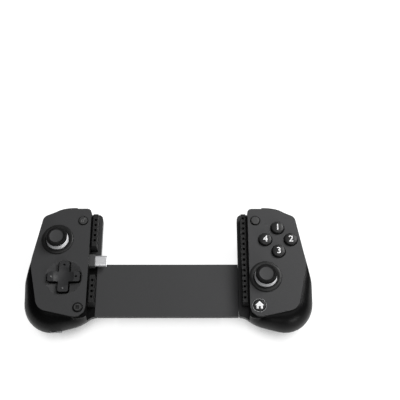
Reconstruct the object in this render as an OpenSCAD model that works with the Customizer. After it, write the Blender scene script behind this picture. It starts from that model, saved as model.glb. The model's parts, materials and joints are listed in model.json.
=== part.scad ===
/* [Grips] */
// Gap between the two face plates with the bridge closed
phone_gap = 110; // [104:1:118]
// How far each face plate reaches outward from its inner edge
plate_reach = 39.7; // [38:0.1:42]
// Height of the face plate above the middle of the face
plate_top = 40.6; // [39.5:0.1:42]
// Height of the face plate's inner corner below the middle of the face
plate_low = 41.2; // [40:0.1:43]
// How far the palm pods stand out beyond the face plates
pod_bulge = 4.1; // [2:0.1:6]
// Lower corners of the palm pods below the face plates
pod_drop = 8.6; // [6:0.1:10]
// How far each phone ledge reaches inward from the face plate
ledge_w = 6.9; // [6:0.1:9]
// How far the phone ledges rise above the face plates
ledge_rise = 1.7; // [0:0.1:2]
// Wall of the rear shells
wall = 1.6; // [1.2:0.1:2]

/* [Depths behind the face] */
// Thickness of the face plates
plate_t = 2.2; // [1.8:0.1:2.6]
// Depth of the faces that the phone's back lies on
rest_d = 13; // [12:0.1:15]
// Depth of the back of the bridge and of the ledges
bridge_d = 23; // [22.5:0.1:26]
// Fullness of the palm pods behind the face
pod_d = 37.4; // [35:0.1:40]
// Depth of the humps behind the triggers
hump_d = 31; // [29:0.5:34]
// Depth at which the shells are widest, along the top and the ledges
waist_d = 10; // [9.5:0.1:11]
// Depth at which the palm pods are widest
pod_waist_d = 17; // [15:0.5:19]

/* [Bridge] */
// How far the right half pulls out
travel = 80; // [60:1:84]
// Upper edge of the bridge above the middle of the face
bridge_top = 3.2; // [1:0.1:3.6]
// Lower edge of the bridge below the middle of the face
bridge_low = 35; // [34:0.1:37]
// Thickness of the bridge's lower bar
bar_t = 6; // [5:0.1:7]
// Thickness of the bridge's front cover
cover_t = 1.8; // [1.4:0.1:2]
// Clearance of the sled inside the bridge
run_gap = 0.4; // [0.3:0.05:0.5]
// Seam between the bridge covers and the right half
seam = 0.2; // [0.1:0.05:0.4]
// Clearance of the return springs inside the sled
spring_gap = 0.2; // [0.2:0.05:0.4]

/* [Sticks] */
// Place of the left stick, outward and upward from the middle of the face
left_stick_at = [77.3, 16.6];
// Place of the right stick, outward and upward from the middle of the face
right_stick_at = [66.3, -11.1];
// Outer radius of the collars around the sticks
collar_r = 11.1; // [10.8:0.1:11.4]
// Height of the collars above the face
collar_h = 1.1; // [0.9:0.1:1.3]
// Radius of the opening in the collars
throat_r = 7.75; // [7.65:0.05:7.9]
// Depth of the point that the sticks tilt about
pivot_d = 7; // [6.9:0.1:7.3]
// Radius of the skirt under each stick cap, from the tilt point
skirt_r = 10.5; // [10.3:0.1:10.6]
// Tilt of the sticks each way
stick_tilt = 12; // [10:1:13]
// Radius of the stick caps
cap_r = 7.2; // [6.5:0.1:7.6]
// Height of the stick caps above the face
cap_top = 6.4; // [6.2:0.1:8]
// Size of the square stick housings
housing_w = 14.4; // [14:0.1:14.8]
// Press of the sticks
stick_press = 0.4; // [0.2:0.1:0.5]

/* [Buttons] */
// Middle of the four face buttons, outward and upward
keys_at = [75.8, 16.5];
// Distance of each face button from their middle
key_pitch = 8.85; // [8.4:0.05:9.1]
// Radius of the face buttons
key_r = 4.5; // [4:0.1:4.6]
// Height of the face buttons above the face
key_proud = 2.2; // [1.8:0.1:3]
// Press of the face buttons
key_travel = 1.5; // [1:0.1:1.7]
// Place of the upper small buttons, outward and upward
upper_small_at = [60.4, 31.1];
// Place of the left lower small button, outward and upward
lower_small_at = [60.2, -33];
// Radius of the small buttons
small_r = 3.15; // [2.6:0.05:3.2]
// Height of the small buttons above the face
small_proud = 0.9; // [0.4:0.1:1.2]
// Press of the small buttons
small_travel = 0.6; // [0.4:0.1:0.8]
// Place of the home button, outward and upward
home_at = [61.3, -31.6];
// Radius of the home button
home_r = 4.05; // [3.6:0.05:4.2]
// Gap between a button and the hole that it slides in
button_gap = 0.35; // [0.2:0.05:0.4]

/* [Direction pad] */
// Middle of the direction pad, outward and upward
pad_at = [70.9, -11.5];
// Length of the direction pad from end to end
pad_span = 22; // [21:0.1:23]
// Width of the direction pad's arms
pad_arm = 7; // [6.4:0.1:7.6]
// Gap around the direction pad
pad_gap = 0.8; // [0.75:0.05:0.9]
// Height of the direction pad above the face
pad_proud = 1.9; // [1.4:0.1:2.4]
// Radius of the dished ground around the direction pad
dish_r = 12.6; // [12.5:0.1:13]

/* [Shoulders] */
// Inner end of the bumpers, outward from the middle
bumper_from = 65.4; // [65.2:0.1:66]
// How far the bumpers stand out past the face plates
bumper_proud = 1.8; // [1:0.1:2]
// Depth of the rear face of the bumpers
bumper_d = 8.8; // [8.2:0.1:8.9]
// Turn of the bumpers about their pins
bumper_swing = 2; // [1:0.5:2.5]
// Radius of the triggers about their pins
trigger_r = 9; // [8.6:0.1:9.4]
// Radius of the shoulder pins
pin_r = 1; // [0.8:0.1:1.1]

/* [Plug] */
// Height of the phone plug above the middle of the face
plug_y = 3.8; // [3.6:0.1:4.8]
// Height of the phone plug's middle above the face it rests on
plug_lift = 4.5; // [4.2:0.1:4.8]
// Length of the plug's metal shell
plug_len = 7.8; // [7:0.1:8]

/* [Pads] */
// Thickness of the end pads
pad_t = 4.6; // [4.2:0.1:5]
// Upper end of the end pads
pads_top = 37.5; // [36:0.5:38]
// Lower end of the end pads
pads_low = 28.3; // [27:0.1:30]
// Spacing of the pockets along the end pads
rib_pitch = 3.95; // [3.6:0.05:4.2]

/* [Hidden] */
$fn = 48;
// Names of the pieces, and the one that is drawn

// Colours of the moulded, rubber and metal pieces
shell_black = [0.06, 0.06, 0.065];
plate_grey = [0.27, 0.27, 0.28];
rubber_black = [0.1, 0.1, 0.1];
board_green = [0.05, 0.25, 0.15];
steel = [0.75, 0.75, 0.77];
silicone_grey = [0.6, 0.6, 0.6];

// Inner edge of the face plates and the farthest reach of the pods
x_in = phone_gap / 2;
x_out = x_in + plate_reach;
x_pod = x_out + pod_bulge;
x_ledge = x_in - ledge_w;

// Height of a depth behind the face, with the table at zero
function at(d) = table_d - d;
// How far a cutting form runs past the face that it opens
past = 1;

// A point moved part of the way from one place to another
function mix(a, b, t) = a + (b - a) * t;
function ease(t) = let(c = min(1, max(0, t))) c * c * (3 - 2 * c);
function unit(v) = v / norm(v);
function flat(v) = [v[0], v[1]];

// Points of a rounded corner b between the edges from a and to c
function corner(a, b, c, r, n) =
    let(
        u = unit(a - b),
        v = unit(c - b),
        half = acos(u * v) / 2,
        mid = b + unit(u + v) * r / sin(half),
        s = b + u * r / tan(half) - mid,
        e = b + v * r / tan(half) - mid,
        from = atan2(s.y, s.x),
        raw = atan2(e.y, e.x) - from,
        turn = raw > 180 ? raw - 360 : raw < -180 ? raw + 360 : raw
    )
    norm(u + v) < 0.001
        ? [for (k = [0:n]) mix(b + u * r, b + v * r, k / n)]
        : [for (k = [0:n]) mid + r * [cos(from + turn * k / n), sin(from + turn * k / n)]];

// A closed outline through rounded corners [x, y, radius], with its edges divided
function outline(st, arcs, edges) =
    let(
        n = len(st),
        rounds = [for (i = [0:n - 1])
            corner(flat(st[(i + n - 1) % n]), flat(st[i]), flat(st[(i + 1) % n]), st[i][2], arcs[i])]
    )
    [for (i = [0:n - 1])
        let(p = rounds[i][arcs[i]], q = rounds[(i + 1) % n][0])
        each concat(rounds[i], [for (k = [1:1:edges[i] - 1]) mix(p, q, k / edges[i])])];

// An outline moved inward all round
function inward(pts, i) =
    let(n = len(pts), t = unit(pts[(i + 1) % n] - pts[(i + n - 1) % n]))
    [-t.y, t.x];
function inset(pts, w) = [for (i = [0:len(pts) - 1]) pts[i] + w * inward(pts, i)];

// Divisions of the corners and edges of the grip outlines
grip_arcs = [3, 2, 3, 3, 10, 4, 5, 5];
grip_edges = [16, 2, 2, 3, 2, 10, 2, 5];

// Upper edge of the grips: rounded inner corner, flat part and fall to the outer corner
plate_corner_r = 3;
crown_x = x_in + 19;
crown_r = 30;
shoulder_in = 6.35;
shoulder_r = 5;
// Side of the grips, with its widest points
side_y = -1;
side_r = 25;
pod_side_y = -13.5;
pod_side_r = 30;

// Lower edge of the face plates, rising from the inner corner to the outer one
foot_in = 7.1;
foot_rise = 7.2;
foot_bend = 11;
foot_y = -plate_low + foot_rise * foot_bend / (plate_reach - foot_in);

// Edge of the right face plate, from its upper inner corner round by the bottom
plate_rim = outline([
    [x_in, plate_top, plate_corner_r],
    [x_in, -plate_low + 10.7, 1],
    [x_in, -plate_low, 7],
    [x_in + foot_bend, foot_y, 1],
    [x_out - foot_in, -plate_low + foot_rise, 9],
    [x_out, side_y, side_r],
    [x_out - shoulder_in, plate_top - shoulder_in, shoulder_r],
    [crown_x, plate_top, crown_r]
], grip_arcs, grip_edges);

// Front edge of the right rear shell: the plate's edge, carried past the bay's wall
bay_over = 3;
front_rim = outline([
    [x_in - bay_over, plate_top, plate_corner_r],
    [x_in - bay_over, -plate_low + 10.7, 1],
    [x_in - bay_over, -plate_low, 7],
    [x_in + foot_bend, foot_y, 1],
    [x_out - foot_in, -plate_low + foot_rise, 9],
    [x_out, side_y, side_r],
    [x_out - shoulder_in, plate_top - shoulder_in, shoulder_r],
    [crown_x, plate_top, crown_r]
], grip_arcs, grip_edges);

// Widest edge of the right rear shell, ledge and pod included
ledge_foot = [x_in - 3.5, -bridge_low];
pod_foot = [x_in + 5.5, -plate_low - 1.1];
shell_rim = outline([
    [x_ledge, plate_top + ledge_rise, 3.5],
    [x_ledge, -bridge_low, 0.8],
    [ledge_foot.x, ledge_foot.y, 8],
    [pod_foot.x, pod_foot.y, 20],
    [x_pod, -plate_low - pod_drop, 20],
    [x_pod, pod_side_y, pod_side_r],
    [x_out - shoulder_in + 0.35, plate_top - shoulder_in + 0.45, shoulder_r + 0.5],
    [crown_x, plate_top + 0.4, crown_r]
], grip_arcs, grip_edges);

// Middle of the whole object between its lowest and highest edge
pivot_y = plate_top - 6;
trigger_top = pivot_y + trigger_r;
rim_low = min([for (p = shell_rim) p.y]);
y_shift = -(trigger_top + rim_low) / 2;

// Rear form of the grips: a flat back with a palm pod and a trigger hump
form_mid = [x_in + 17, -4];
pod_at = [x_in + 27.5, -22];
hump_at = [x_in + 22, 27];
function swell(p, c, s) = exp(-pow((p.x - c.x) / s.x, 2) - pow((p.y - c.y) / s.y, 2));
pod_spread = [14, 19];
hump_spread = [12, 12];
waist_at = [x_pod - 14.5, -36];
waist_spread = [22, 20];
function back(p) = bridge_d + (pod_d - bridge_d) * swell(p, pod_at, pod_spread)
    + (hump_d - bridge_d) * swell(p, hump_at, hump_spread);
// Depth of the widest edge and sharpness of the turn to the back, around the rim
function waist(q) = waist_d + (pod_waist_d - waist_d) * swell(q, waist_at, waist_spread);
function ledge_turn(q) = mix(5, 8, ease((q.y + bridge_low - past) / 14));
function pod_turn(q) = mix(2.5, 4.5, ease((q.y - 10) / 24));
function turn(q) = mix(ledge_turn(q), pod_turn(q), ease((q.x - x_ledge - 1) / 17));
function round_off(r, n) = pow(1 - pow(r, n), 1 / n);
function dip(q, p, r, w) = waist(q) + round_off(r, turn(q)) * (back(p) - w - waist(q));

// Steps of the form from its rim to the middle of the back
front_steps = [0, 30, 60, 90];
back_steps = [0.995, 0.98, 0.95, 0.9, 0.83, 0.74, 0.64, 0.53, 0.42, 0.3, 0.18, 0.08];
hollow_steps = [0.97, 0.9, 0.78, 0.62, 0.42, 0.2];

// Rings of a grip form from its front edge over its widest edge to the back, less a wall
function form_rings(front, wide, w, steps, backs) = concat(
    [for (a = steps) [for (i = [0:len(front) - 1])
        let(p = mix(front[i], wide[i], sin(a)))
        [p.x, p.y, at(mix(plate_t, waist(shell_rim[i]), 1 - cos(a)))]]],
    [for (r = backs) [for (i = [0:len(front) - 1])
        let(p = mix(form_mid, wide[i], r))
        [p.x, p.y, at(dip(shell_rim[i], p, r, w))]]]
);
function form_pole(w) = [form_mid.x, form_mid.y, at(back(form_mid) - w)];
function form_points(rings, w) = concat([for (g = rings) each g], [form_pole(w)]);

// Triangles of a tube of m rings of n points from point s on, ending in a point
function tube_faces(n, m, s) = concat(
    [for (k = [0:m - 2], i = [0:n - 1])
        [i, (i + 1) % n, n + (i + 1) % n] + (s + k * n) * [1, 1, 1]],
    [for (k = [0:m - 2], i = [0:n - 1])
        [i, n + (i + 1) % n, n + i] + (s + k * n) * [1, 1, 1]],
    [for (i = [0:n - 1]) [i, (i + 1) % n, n] + (s + (m - 1) * n) * [1, 1, 1]]
);
function flip(f) = [f[2], f[1], f[0]];

// An outline drawn in toward the form's middle by a wall's thickness
function draw_in(pts, w) =
    let(n = len(pts))
    [for (i = [0:n - 1])
        let(t = unit(pts[(i + 1) % n] - pts[(i + n - 1) % n]), m = unit(form_mid - pts[i]))
        pts[i] + m * w / max(0.35, m * [-t.y, t.x])];

// Inside of the rear shell, squeezed clear of the phone ledge
hollow_bend = x_in + 14;
hollow_squeeze = (hollow_bend - x_in) / (hollow_bend - x_ledge);
hollow_front = draw_in(plate_rim, wall);
hollow_wide = draw_in([for (p = shell_rim)
    [p.x > hollow_bend ? p.x : mix(hollow_bend, p.x, hollow_squeeze), p.y]], wall);

// Edge of the grip panel on the back of the pod
panel_rim = outline([
    [x_in + 17.3, 7.7, 13.5],
    [x_in + 16.8, -plate_low + 2.4, 2.5],
    [x_pod - 4.5, -plate_low - 2.8, 16],
    [x_pod - 4.5, -12.5, 20],
    [x_out - 4.6, 7.7, 2]
], [6, 3, 8, 3, 3], [5, 3, 3, 4, 2]);
panel_mid = [x_in + 28, -17];
panel_t = 0.6;
panel_edge = 0.3;
panel_gap = 0.2;
panel_steps = [1, 0.94, 0.85, 0.73, 0.59, 0.44, 0.29, 0.14];

// Where the ray from the form's middle through a point crosses the widest edge
function rim_scale(p) = max([for (i = [0:len(shell_rim) - 1])
    let(
        a = shell_rim[i],
        e = shell_rim[(i + 1) % len(shell_rim)] - a,
        v = p - form_mid,
        w = a - form_mid,
        k = cross(v, e),
        s = abs(k) < 0.000001 ? -1 : cross(w, v) / k
    )
    s >= 0 && s <= 1 ? cross(w, e) / k : 0]);
function rear_depth(p) =
    let(t = rim_scale(p), q = mix(form_mid, p, t))
    dip(q, p, 1 / t, 0);

// Depth of the table that the deepest points of the panels lie on
table_d = max([for (r = panel_steps, b = panel_rim)
    rear_depth(mix(panel_mid, b, r)) + panel_gap + (r < 1 ? panel_t : panel_edge)]);

// Screws at [outward, upward, depth where the plate's post meets the shell's boss]
screws = [[x_out - 5.6, 3.5, 12], [x_out - 10.2, -29, 20]];
screw_r = 1;
post_r = 2.4;
boss_r = 2.9;
boss_floor = 2.5;
head_r = 1.8;
head_h = 1.4;
screw_gap = 0.15;
snug = 0.05;

// Depths of the button stack: flange, travel, rubber dome, mat and board
flange_gap = 0.3;
key_flange = 1.2;
small_flange = 0.8;
small_lip = 0.5;
lug_len = 11.6;
lug_w = 3;
slack = 0.15;
dome_h = 1.85;
mat_t = 0.8;
board_t = 1.6;
key_dome_d = plate_t + flange_gap + key_flange + key_travel + slack;
small_dome_d = plate_t + flange_gap + small_flange + small_travel + slack;
mat_d = key_dome_d + dome_h;
board_d = mat_d + mat_t;
board_end = board_d + board_t;
board_top = pivot_y - 3.9;

// Face buttons at right, above, left and below their middle, with the turn of their lugs
keys = [
    [keys_at.x + key_pitch, keys_at.y, 90],
    [keys_at.x, keys_at.y + key_pitch, 0],
    [keys_at.x - key_pitch, keys_at.y, 0],
    [keys_at.x, keys_at.y - key_pitch, 0]
];
home_ring_w = 0.35;
home_proud = 0.35;
home_hole_r = home_r + button_gap + home_ring_w;
home_flange_r = home_hole_r + 0.3;
small_stop_d = small_dome_d + 0.3;

// Direction pad: a ball on the board that it rocks on
pad_tilt = 4.5;
pad_bowl = 30;
pad_bowl_deep = 0.9;
dimple_in = 2.6;
dimple_r = 0.8;
dimple_deep = 0.45;
dish_deep = 0.8;
dish_ball = dish_r * dish_r / (2 * dish_deep) + dish_deep / 2;
ball_r = 1.8;
ball_d = board_d - ball_r;
pad_rise = (pad_span / 2 + 0.6) * sin(pad_tilt) + 0.35;
pad_flange_d = plate_t + pad_rise;
pad_flange_t = 1.2;
pad_flange_r = pad_span / 2 - 1.2;
pad_dome_d = pad_flange_d + pad_flange_t + pad_rise;

// Stick gimbal: yoke outside, rocker inside it, shaft hub inside the rocker
skirt_gap = 0.4;
function skirt_at(h) = sqrt(skirt_r * skirt_r - h * h);
stick_hole_r = skirt_at(pivot_d) + skirt_gap;
stick_hole_low_r = skirt_at(pivot_d - plate_t) + skirt_gap;
skirt_t = 0.8;
lip_h = 0.5;
skirt_end = atan2(throat_r, pivot_d + lip_h) + stick_tilt + 0.3;
skirt_sweep = skirt_r * sin(skirt_end + stick_tilt) + skirt_gap;
housing_d = pivot_d - 2.1;
housing_wall = 0.9;
ring_t = 1.8;
floor_gap = 4.4;
housing_end = pivot_d + ring_t / 2 + stick_press + floor_gap;
yoke_w = housing_w - 2 * housing_wall - 0.3;
yoke_in = yoke_w - 2.2;
rocker_w = yoke_in - 1.4;
rocker_in = rocker_w - 3;
housing_mouth = rocker_w * sqrt(0.5) + 0.3;
hub_w = rocker_in - 1.6;
gimbal_r = 0.55;
shaft_r = 1.7;
shaft_seat = 1.5;
press_gap = 0.02;
cap_d = -3.7;

// Bumper and trigger
bumper_gap = 0.4;
bumper_low = board_top + 2.8;
bumper_end = 0.3;
bumper_fade = 13;
bumper_pin = [bumper_from + 2.2, pivot_y + 1.1];
trigger_d = bumper_d + 3.1;
trigger_from = bumper_from;
trigger_to = x_out - 8.8;
trigger_gap = 0.5;
rib_to = bumper_from - trigger_gap;
rib_from = rib_to - 1.5;
pin_seat = 1.2;
bumper_drop = (x_out - 5 - bumper_pin.x) * sin(bumper_swing) + 0.3;
barrel_r = 2.5;
strip_t = 0.8;
strip_tail = 7;
switch_w = 4;
switch_len = 3;

// Bridge sections
sled_low = -bridge_low + bar_t + run_gap;
sled_top = bridge_top - wall - run_gap;
sled_back_d = bridge_d - wall - run_gap;
sled_front_d = rest_d + cover_t + run_gap;
sled_back = at(sled_back_d);
sled_front = at(sled_front_d);
sled_t = 1.2;
sled_end = x_in + wall - 0.6;
slot_gap = 0.15;
bridge_mid_y = (sled_low + sled_top) / 2;
bridge_mid_z = (sled_back + sled_front) / 2;
tongue = ledge_w - pad_t - 0.1;
bridge_round = bridge_d - rest_d - cover_t - 0.2;
spring_y = (sled_top - sled_low) / 4;
spring_r = (sled_front - sled_back) / 2 - sled_t - spring_gap;
cable_w = 8;
cable_t = 0.3;
cable_spare = 30;

// Phone plug
plug_d = rest_d - plug_lift;
plug_z = at(plug_d);
plug_pin_x = x_in + 3;
plug_half = 4.5;
plug_block_t = 4.2;
plug_face = x_in - pad_t + 0.8;
plug_w = 8.25;
plug_t = 2.4;
plug_skin = 0.35;
notch = 9;
notch_low = 12.3;
plug_clear = 0.5;

// Charge socket at the bottom of the left pod
port_x = x_in + 21;
port_d = pod_waist_d - 1;
port_w = 8.94;
port_t = 3.2;
port_len = 7.2;
port_lip = min([for (p = shell_rim) if (abs(p.x - port_x) < 6) p.y]) + 0.6;

// Draws a right-hand piece on its own side, lifted to the object's middle
module right() {
    translate([0, y_shift, 0]) children();
}

// Draws a right-hand piece mirrored to the left side
module left() {
    translate([0, y_shift, 0]) mirror([1, 0, 0]) children();
}

// A box between two corners, its depths counted behind the face
module block(x0, x1, y0, y1, d0, d1) {
    translate([x0, y0, at(d1)]) cube([x1 - x0, y1 - y0, d1 - d0]);
}

// A round bar along the face's normal between two depths
module bar(p, r, d0, d1) {
    translate([p[0], p[1], at(d1)]) cylinder(h = d1 - d0, r = r);
}

// A round bar along the width
module cross_bar(x0, x1, y, d, r) {
    translate([x0, y, at(d)]) rotate([0, 90, 0]) cylinder(h = x1 - x0, r = r);
}

// A flat sheet with the given outline between two depths
module sheet(pts, d0, d1) {
    translate([0, 0, at(d1)]) linear_extrude(d1 - d0) polygon(pts);
}

// A slot with round ends, drawn in the plane
module stadium(w, t) {
    square([w - t, t], center = true);
    translate([(w - t) / 2, 0]) circle(t / 2);
    translate([-(w - t) / 2, 0]) circle(t / 2);
}

// Face plate without its openings, with the posts that the screws hold
module plate_blank() {
    difference() {
        union() {
            sheet(plate_rim, 0, plate_t);
            for (s = screws) bar(s, post_r, plate_t / 2, s[2]);
        }
        for (s = screws) bar(s, screw_r + snug, s[2] - 7, s[2] + 1);
        bar(bumper_pin, pin_r + snug, plate_t - 1.2, plate_t + 1);
    }
}

// Cross of the direction pad, in the plane
module pad_cross(grow) {
    for (a = [0, 90]) rotate(a) {
        square([pad_span - 3 + 2 * grow, pad_arm + 2 * grow], center = true);
        square([pad_span + 2 * grow, pad_arm - 3 + 2 * grow], center = true);
        for (s = [-1, 1], t = [-1, 1])
            translate([s * (pad_span / 2 - 1.5), t * (pad_arm / 2 - 1.5)]) circle(1.5 + grow);
    }
}

// Opening for a stick's skirt, wider below to follow its dome
module stick_hole(p) {
    bar(p, stick_hole_r, -past, plate_t / 2);
    bar(p, stick_hole_low_r, plate_t, plate_t + past);
    translate([p.x, p.y, at(plate_t)]) cylinder(h = plate_t, r1 = stick_hole_low_r, r2 = stick_hole_r);
}

module left_face_plate() {
    color(plate_grey) left() difference() {
        plate_blank();
        stick_hole(left_stick_at);
        translate([pad_at.x, pad_at.y, at(plate_t + 1)]) linear_extrude(plate_t + 2) pad_cross(pad_gap);
        translate([pad_at.x, pad_at.y, at(dish_deep - dish_ball)]) sphere(r = dish_ball);
        bar(upper_small_at, small_r + button_gap, -1, plate_t + 1);
        bar(lower_small_at, small_r + button_gap, -1, plate_t + 1);
    }
}

module right_face_plate() {
    color(plate_grey) right() difference() {
        plate_blank();
        stick_hole(right_stick_at);
        for (k = keys) bar(k, key_r + button_gap, -1, plate_t + 1);
        bar(upper_small_at, small_r + button_gap, -1, plate_t + 1);
        bar(home_at, home_hole_r, -1, plate_t + 1);
    }
}

// Rear shell as one skin: outer form, inner form and the flat edge that joins them
module shell_skin() {
    outer = form_rings(front_rim, shell_rim, 0, front_steps, back_steps);
    inner = form_rings(hollow_front, hollow_wide, wall, [0, 45, 90], hollow_steps);
    n = len(front_rim);
    start = len(outer) * n + 1;
    polyhedron(concat(form_points(outer, 0), form_points(inner, wall)), concat(
        tube_faces(n, len(outer), 0),
        [for (f = tube_faces(n, len(inner), start)) flip(f)],
        [for (i = [0:n - 1]) [(i + 1) % n, i, start + i]],
        [for (i = [0:n - 1]) [(i + 1) % n, start + i, start + (i + 1) % n]]
    ), 4);
}

// Screw bosses and the trigger pin's rib, ending inside the shell's skin
module shell_ribs() {
    core = form_rings(front_rim, shell_rim, wall / 2, [0, 45, 90], hollow_steps);
    n = len(front_rim);
    intersection() {
        polyhedron(form_points(core, wall / 2), concat(
            [[for (i = [n - 1:-1:0]) i]],
            tube_faces(n, len(core), 0)
        ), 4);
        union() {
            for (s = screws) bar(s, boss_r, s[2], pod_d);
            block(rib_from, rib_to, pivot_y - 3.7, plate_top - 0.8, board_end + 0.6, pod_d);
        }
    }
}

// Round cut on the shell's upper corner at the bay, as on the face plate
module bay_corner() {
    mid = [x_in + plate_corner_r, plate_top - plate_corner_r];
    exit = 105;
    run = 8;
    sheet(concat(
        [[x_in - 2, mid.y]],
        [for (a = [180:-15:exit]) mid + plate_corner_r * [cos(a), sin(a)]],
        [mid + plate_corner_r * [cos(exit), sin(exit)] + run * [sin(exit), -cos(exit)]],
        [[x_in - 2, plate_top + run]]
    ), -past, rest_d);
}

// Rear shell less the phone's bay, the shoulders, the screw holes and the sled's slot
module shell_body() {
    difference() {
        union() {
            shell_skin();
            shell_ribs();
        }
        block(x_ledge - 5, x_in, -plate_low - 9, plate_top + 5, -5, rest_d);
        bay_corner();
        block(rib_to, x_pod, bumper_low - bumper_drop, plate_top + 9, -past, bumper_d + bumper_gap);
        cross_bar(rib_to, trigger_to + trigger_gap, pivot_y, trigger_d, trigger_r + trigger_gap);
        cross_bar(rib_from - past, trigger_to + pin_seat + 0.1, pivot_y, trigger_d, pin_r + snug);
        for (s = screws) {
            bar(s, screw_r + screw_gap, s[2] - past, s[2] + boss_floor + past);
            bar(s, head_r + screw_gap, s[2] + boss_floor, pod_d);
        }
        block(x_ledge - 2, x_in + wall + 1, sled_low - slot_gap, sled_top + slot_gap,
            sled_front_d - slot_gap, sled_back_d + slot_gap);
    }
}

module right_rear_shell() {
    color(shell_black) right() difference() {
        shell_body();
        bar(home_at, home_flange_r + flange_gap, -past, small_stop_d);
        bar(right_stick_at, skirt_sweep, -past, pivot_d);
    }
}

module left_rear_shell() {
    color(shell_black) left() difference() {
        shell_body();
        block(x_ledge - 1, x_ledge + tongue, -bridge_low - 1, bridge_top + seam, 0, rest_d + cover_t);
        block(x_in - 1, x_in + wall + 1, plug_y - plug_half - plug_clear, plug_y + plug_half + plug_clear,
            plate_t + 1, rest_d - 0.2);
        translate([port_x, port_lip + 8, at(port_d)]) rotate([90, 0, 0]) linear_extrude(14)
            stadium(port_w + 0.5, port_t + 0.5);
        port_board(0.2);
        bar(lower_small_at, small_r + small_lip + flange_gap, -past, small_stop_d);
        anchor_plate(snug);
    }
}

// Grip panel: a thin skin on the back of the pod
module panel_body() {
    n = len(panel_rim);
    m = len(panel_steps);
    places = concat([for (r = panel_steps) each [for (b = panel_rim) mix(panel_mid, b, r)]], [panel_mid]);
    deep = [for (p = places) rear_depth(p) + panel_gap];
    under = [for (i = [0:len(places) - 1]) [places[i].x, places[i].y, at(deep[i])]];
    over = [for (i = [0:len(places) - 1]) [places[i].x, places[i].y,
        at(deep[i] + (i < n ? panel_edge : panel_t))]];
    c = len(places);
    polyhedron(concat(under, over), concat(
        [for (k = [0:m - 2], i = [0:n - 1]) [k * n + i, (k + 1) * n + (i + 1) % n, k * n + (i + 1) % n]],
        [for (k = [0:m - 2], i = [0:n - 1]) [k * n + i, (k + 1) * n + i, (k + 1) * n + (i + 1) % n]],
        [for (i = [0:n - 1]) [(m - 1) * n + i, m * n, (m - 1) * n + (i + 1) % n]],
        [for (k = [0:m - 2], i = [0:n - 1])
            [k * n + i, k * n + (i + 1) % n, (k + 1) * n + (i + 1) % n] + c * [1, 1, 1]],
        [for (k = [0:m - 2], i = [0:n - 1])
            [k * n + i, (k + 1) * n + (i + 1) % n, (k + 1) * n + i] + c * [1, 1, 1]],
        [for (i = [0:n - 1]) [c + (m - 1) * n + i, c + (m - 1) * n + (i + 1) % n, c + m * n]],
        [for (i = [0:n - 1]) [i, (i + 1) % n, c + (i + 1) % n]],
        [for (i = [0:n - 1]) [i, c + (i + 1) % n, c + i]]
    ), 4);
}

module left_grip_panel() {
    color(rubber_black) left() panel_body();
}

module right_grip_panel() {
    color(rubber_black) right() panel_body();
}

// Pockets, grooves and the slot along the plate of the end pads
pocket_from = 2.2;
pocket_to = 3.8;
pocket_h = 1.7;
groove_t = 0.4;
groove_h = 1.2;
slot_w = 1.2;
slot_deep = 4;

// End pad: a rubber strip with a row of pockets and grooves that grip the phone's end
module pad_strip(y0, y1) {
    count = floor((y1 - y0 - 1.2) / rib_pitch);
    first = (y0 + y1) / 2 - (count - 1) * rib_pitch / 2;
    difference() {
        block(x_in - pad_t, x_in, y0, y1, plate_t + 0.4, rest_d);
        for (i = [0:count - 1]) {
            y = first + i * rib_pitch;
            block(x_in - pocket_to, x_in - pocket_from, y - pocket_h / 2, y + pocket_h / 2,
                plate_t, rest_d - 3);
            block(x_in - pad_t - past, x_in - pad_t + groove_t, y - groove_h / 2, y + groove_h / 2,
                plate_t, rest_d + past);
        }
        block(x_in - slot_w, x_in + past, y0 - past, y1 + past, plate_t, plate_t + slot_deep);
    }
}

module left_end_pads() {
    color(rubber_black) left() {
        pad_strip(plug_y + notch, pads_top);
        pad_strip(-pads_low, plug_y - notch_low);
    }
}

module right_end_pad() {
    color(rubber_black) right() pad_strip(-pads_low, pads_top);
}

// Cut along the shell's lower inner corner, a given distance inside it
module corner_cut(w, d0, d1) {
    reach = 30;
    a = [mix(hollow_bend, ledge_foot.x, hollow_squeeze), ledge_foot.y];
    b = [mix(hollow_bend, pod_foot.x, hollow_squeeze), pod_foot.y];
    translate([a.x, a.y, at(d1)]) rotate(atan2(b.y - a.y, b.x - a.x)) translate([-reach / 2, -reach, 0])
        cube([2 * reach, reach + w, d1 - d0]);
}

// Circuit board or button mat: the plate's outline drawn in, cut back for the shoulders and stick
module inner_sheet(w, d0, d1, stick) {
    difference() {
        sheet(draw_in(plate_rim, wall + w), d0, d1);
        corner_cut(wall + w, d0 - past, d1 + past);
        block(rib_from - 0.3, x_pod, board_top, plate_top + 5, d0 - past, d1 + past);
        block(0, rib_from, pads_top - 1.5, plate_top + 5, d0 - past, d1 + past);
        for (s = screws) bar(s, post_r + 0.3, d0 - past, d1 + past);
        translate([stick.x, stick.y, at(d1 + past)]) linear_extrude(d1 - d0 + 2 * past)
            square(housing_w + 0.5, center = true);
    }
}

module plug_window(d0, d1) {
    block(0, plug_pin_x + 6.6, plug_y - plug_half - 2.4, plug_y + plug_half + 2.4, d0, d1);
}

module left_circuit_board() {
    color(board_green) left() difference() {
        inner_sheet(0.5, board_d, board_end, left_stick_at);
        plug_window(board_d - 1, board_end + 1);
    }
}

module right_circuit_board() {
    color(board_green) right() inner_sheet(0.5, board_d, board_end, right_stick_at);
}

// Rubber dome over a contact
module dome(p, r, d) {
    translate([p[0], p[1], at(board_d - mat_t / 2)])
        cylinder(h = board_d - mat_t / 2 - d, r1 = r + 0.8, r2 = r - 0.4);
}

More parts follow.
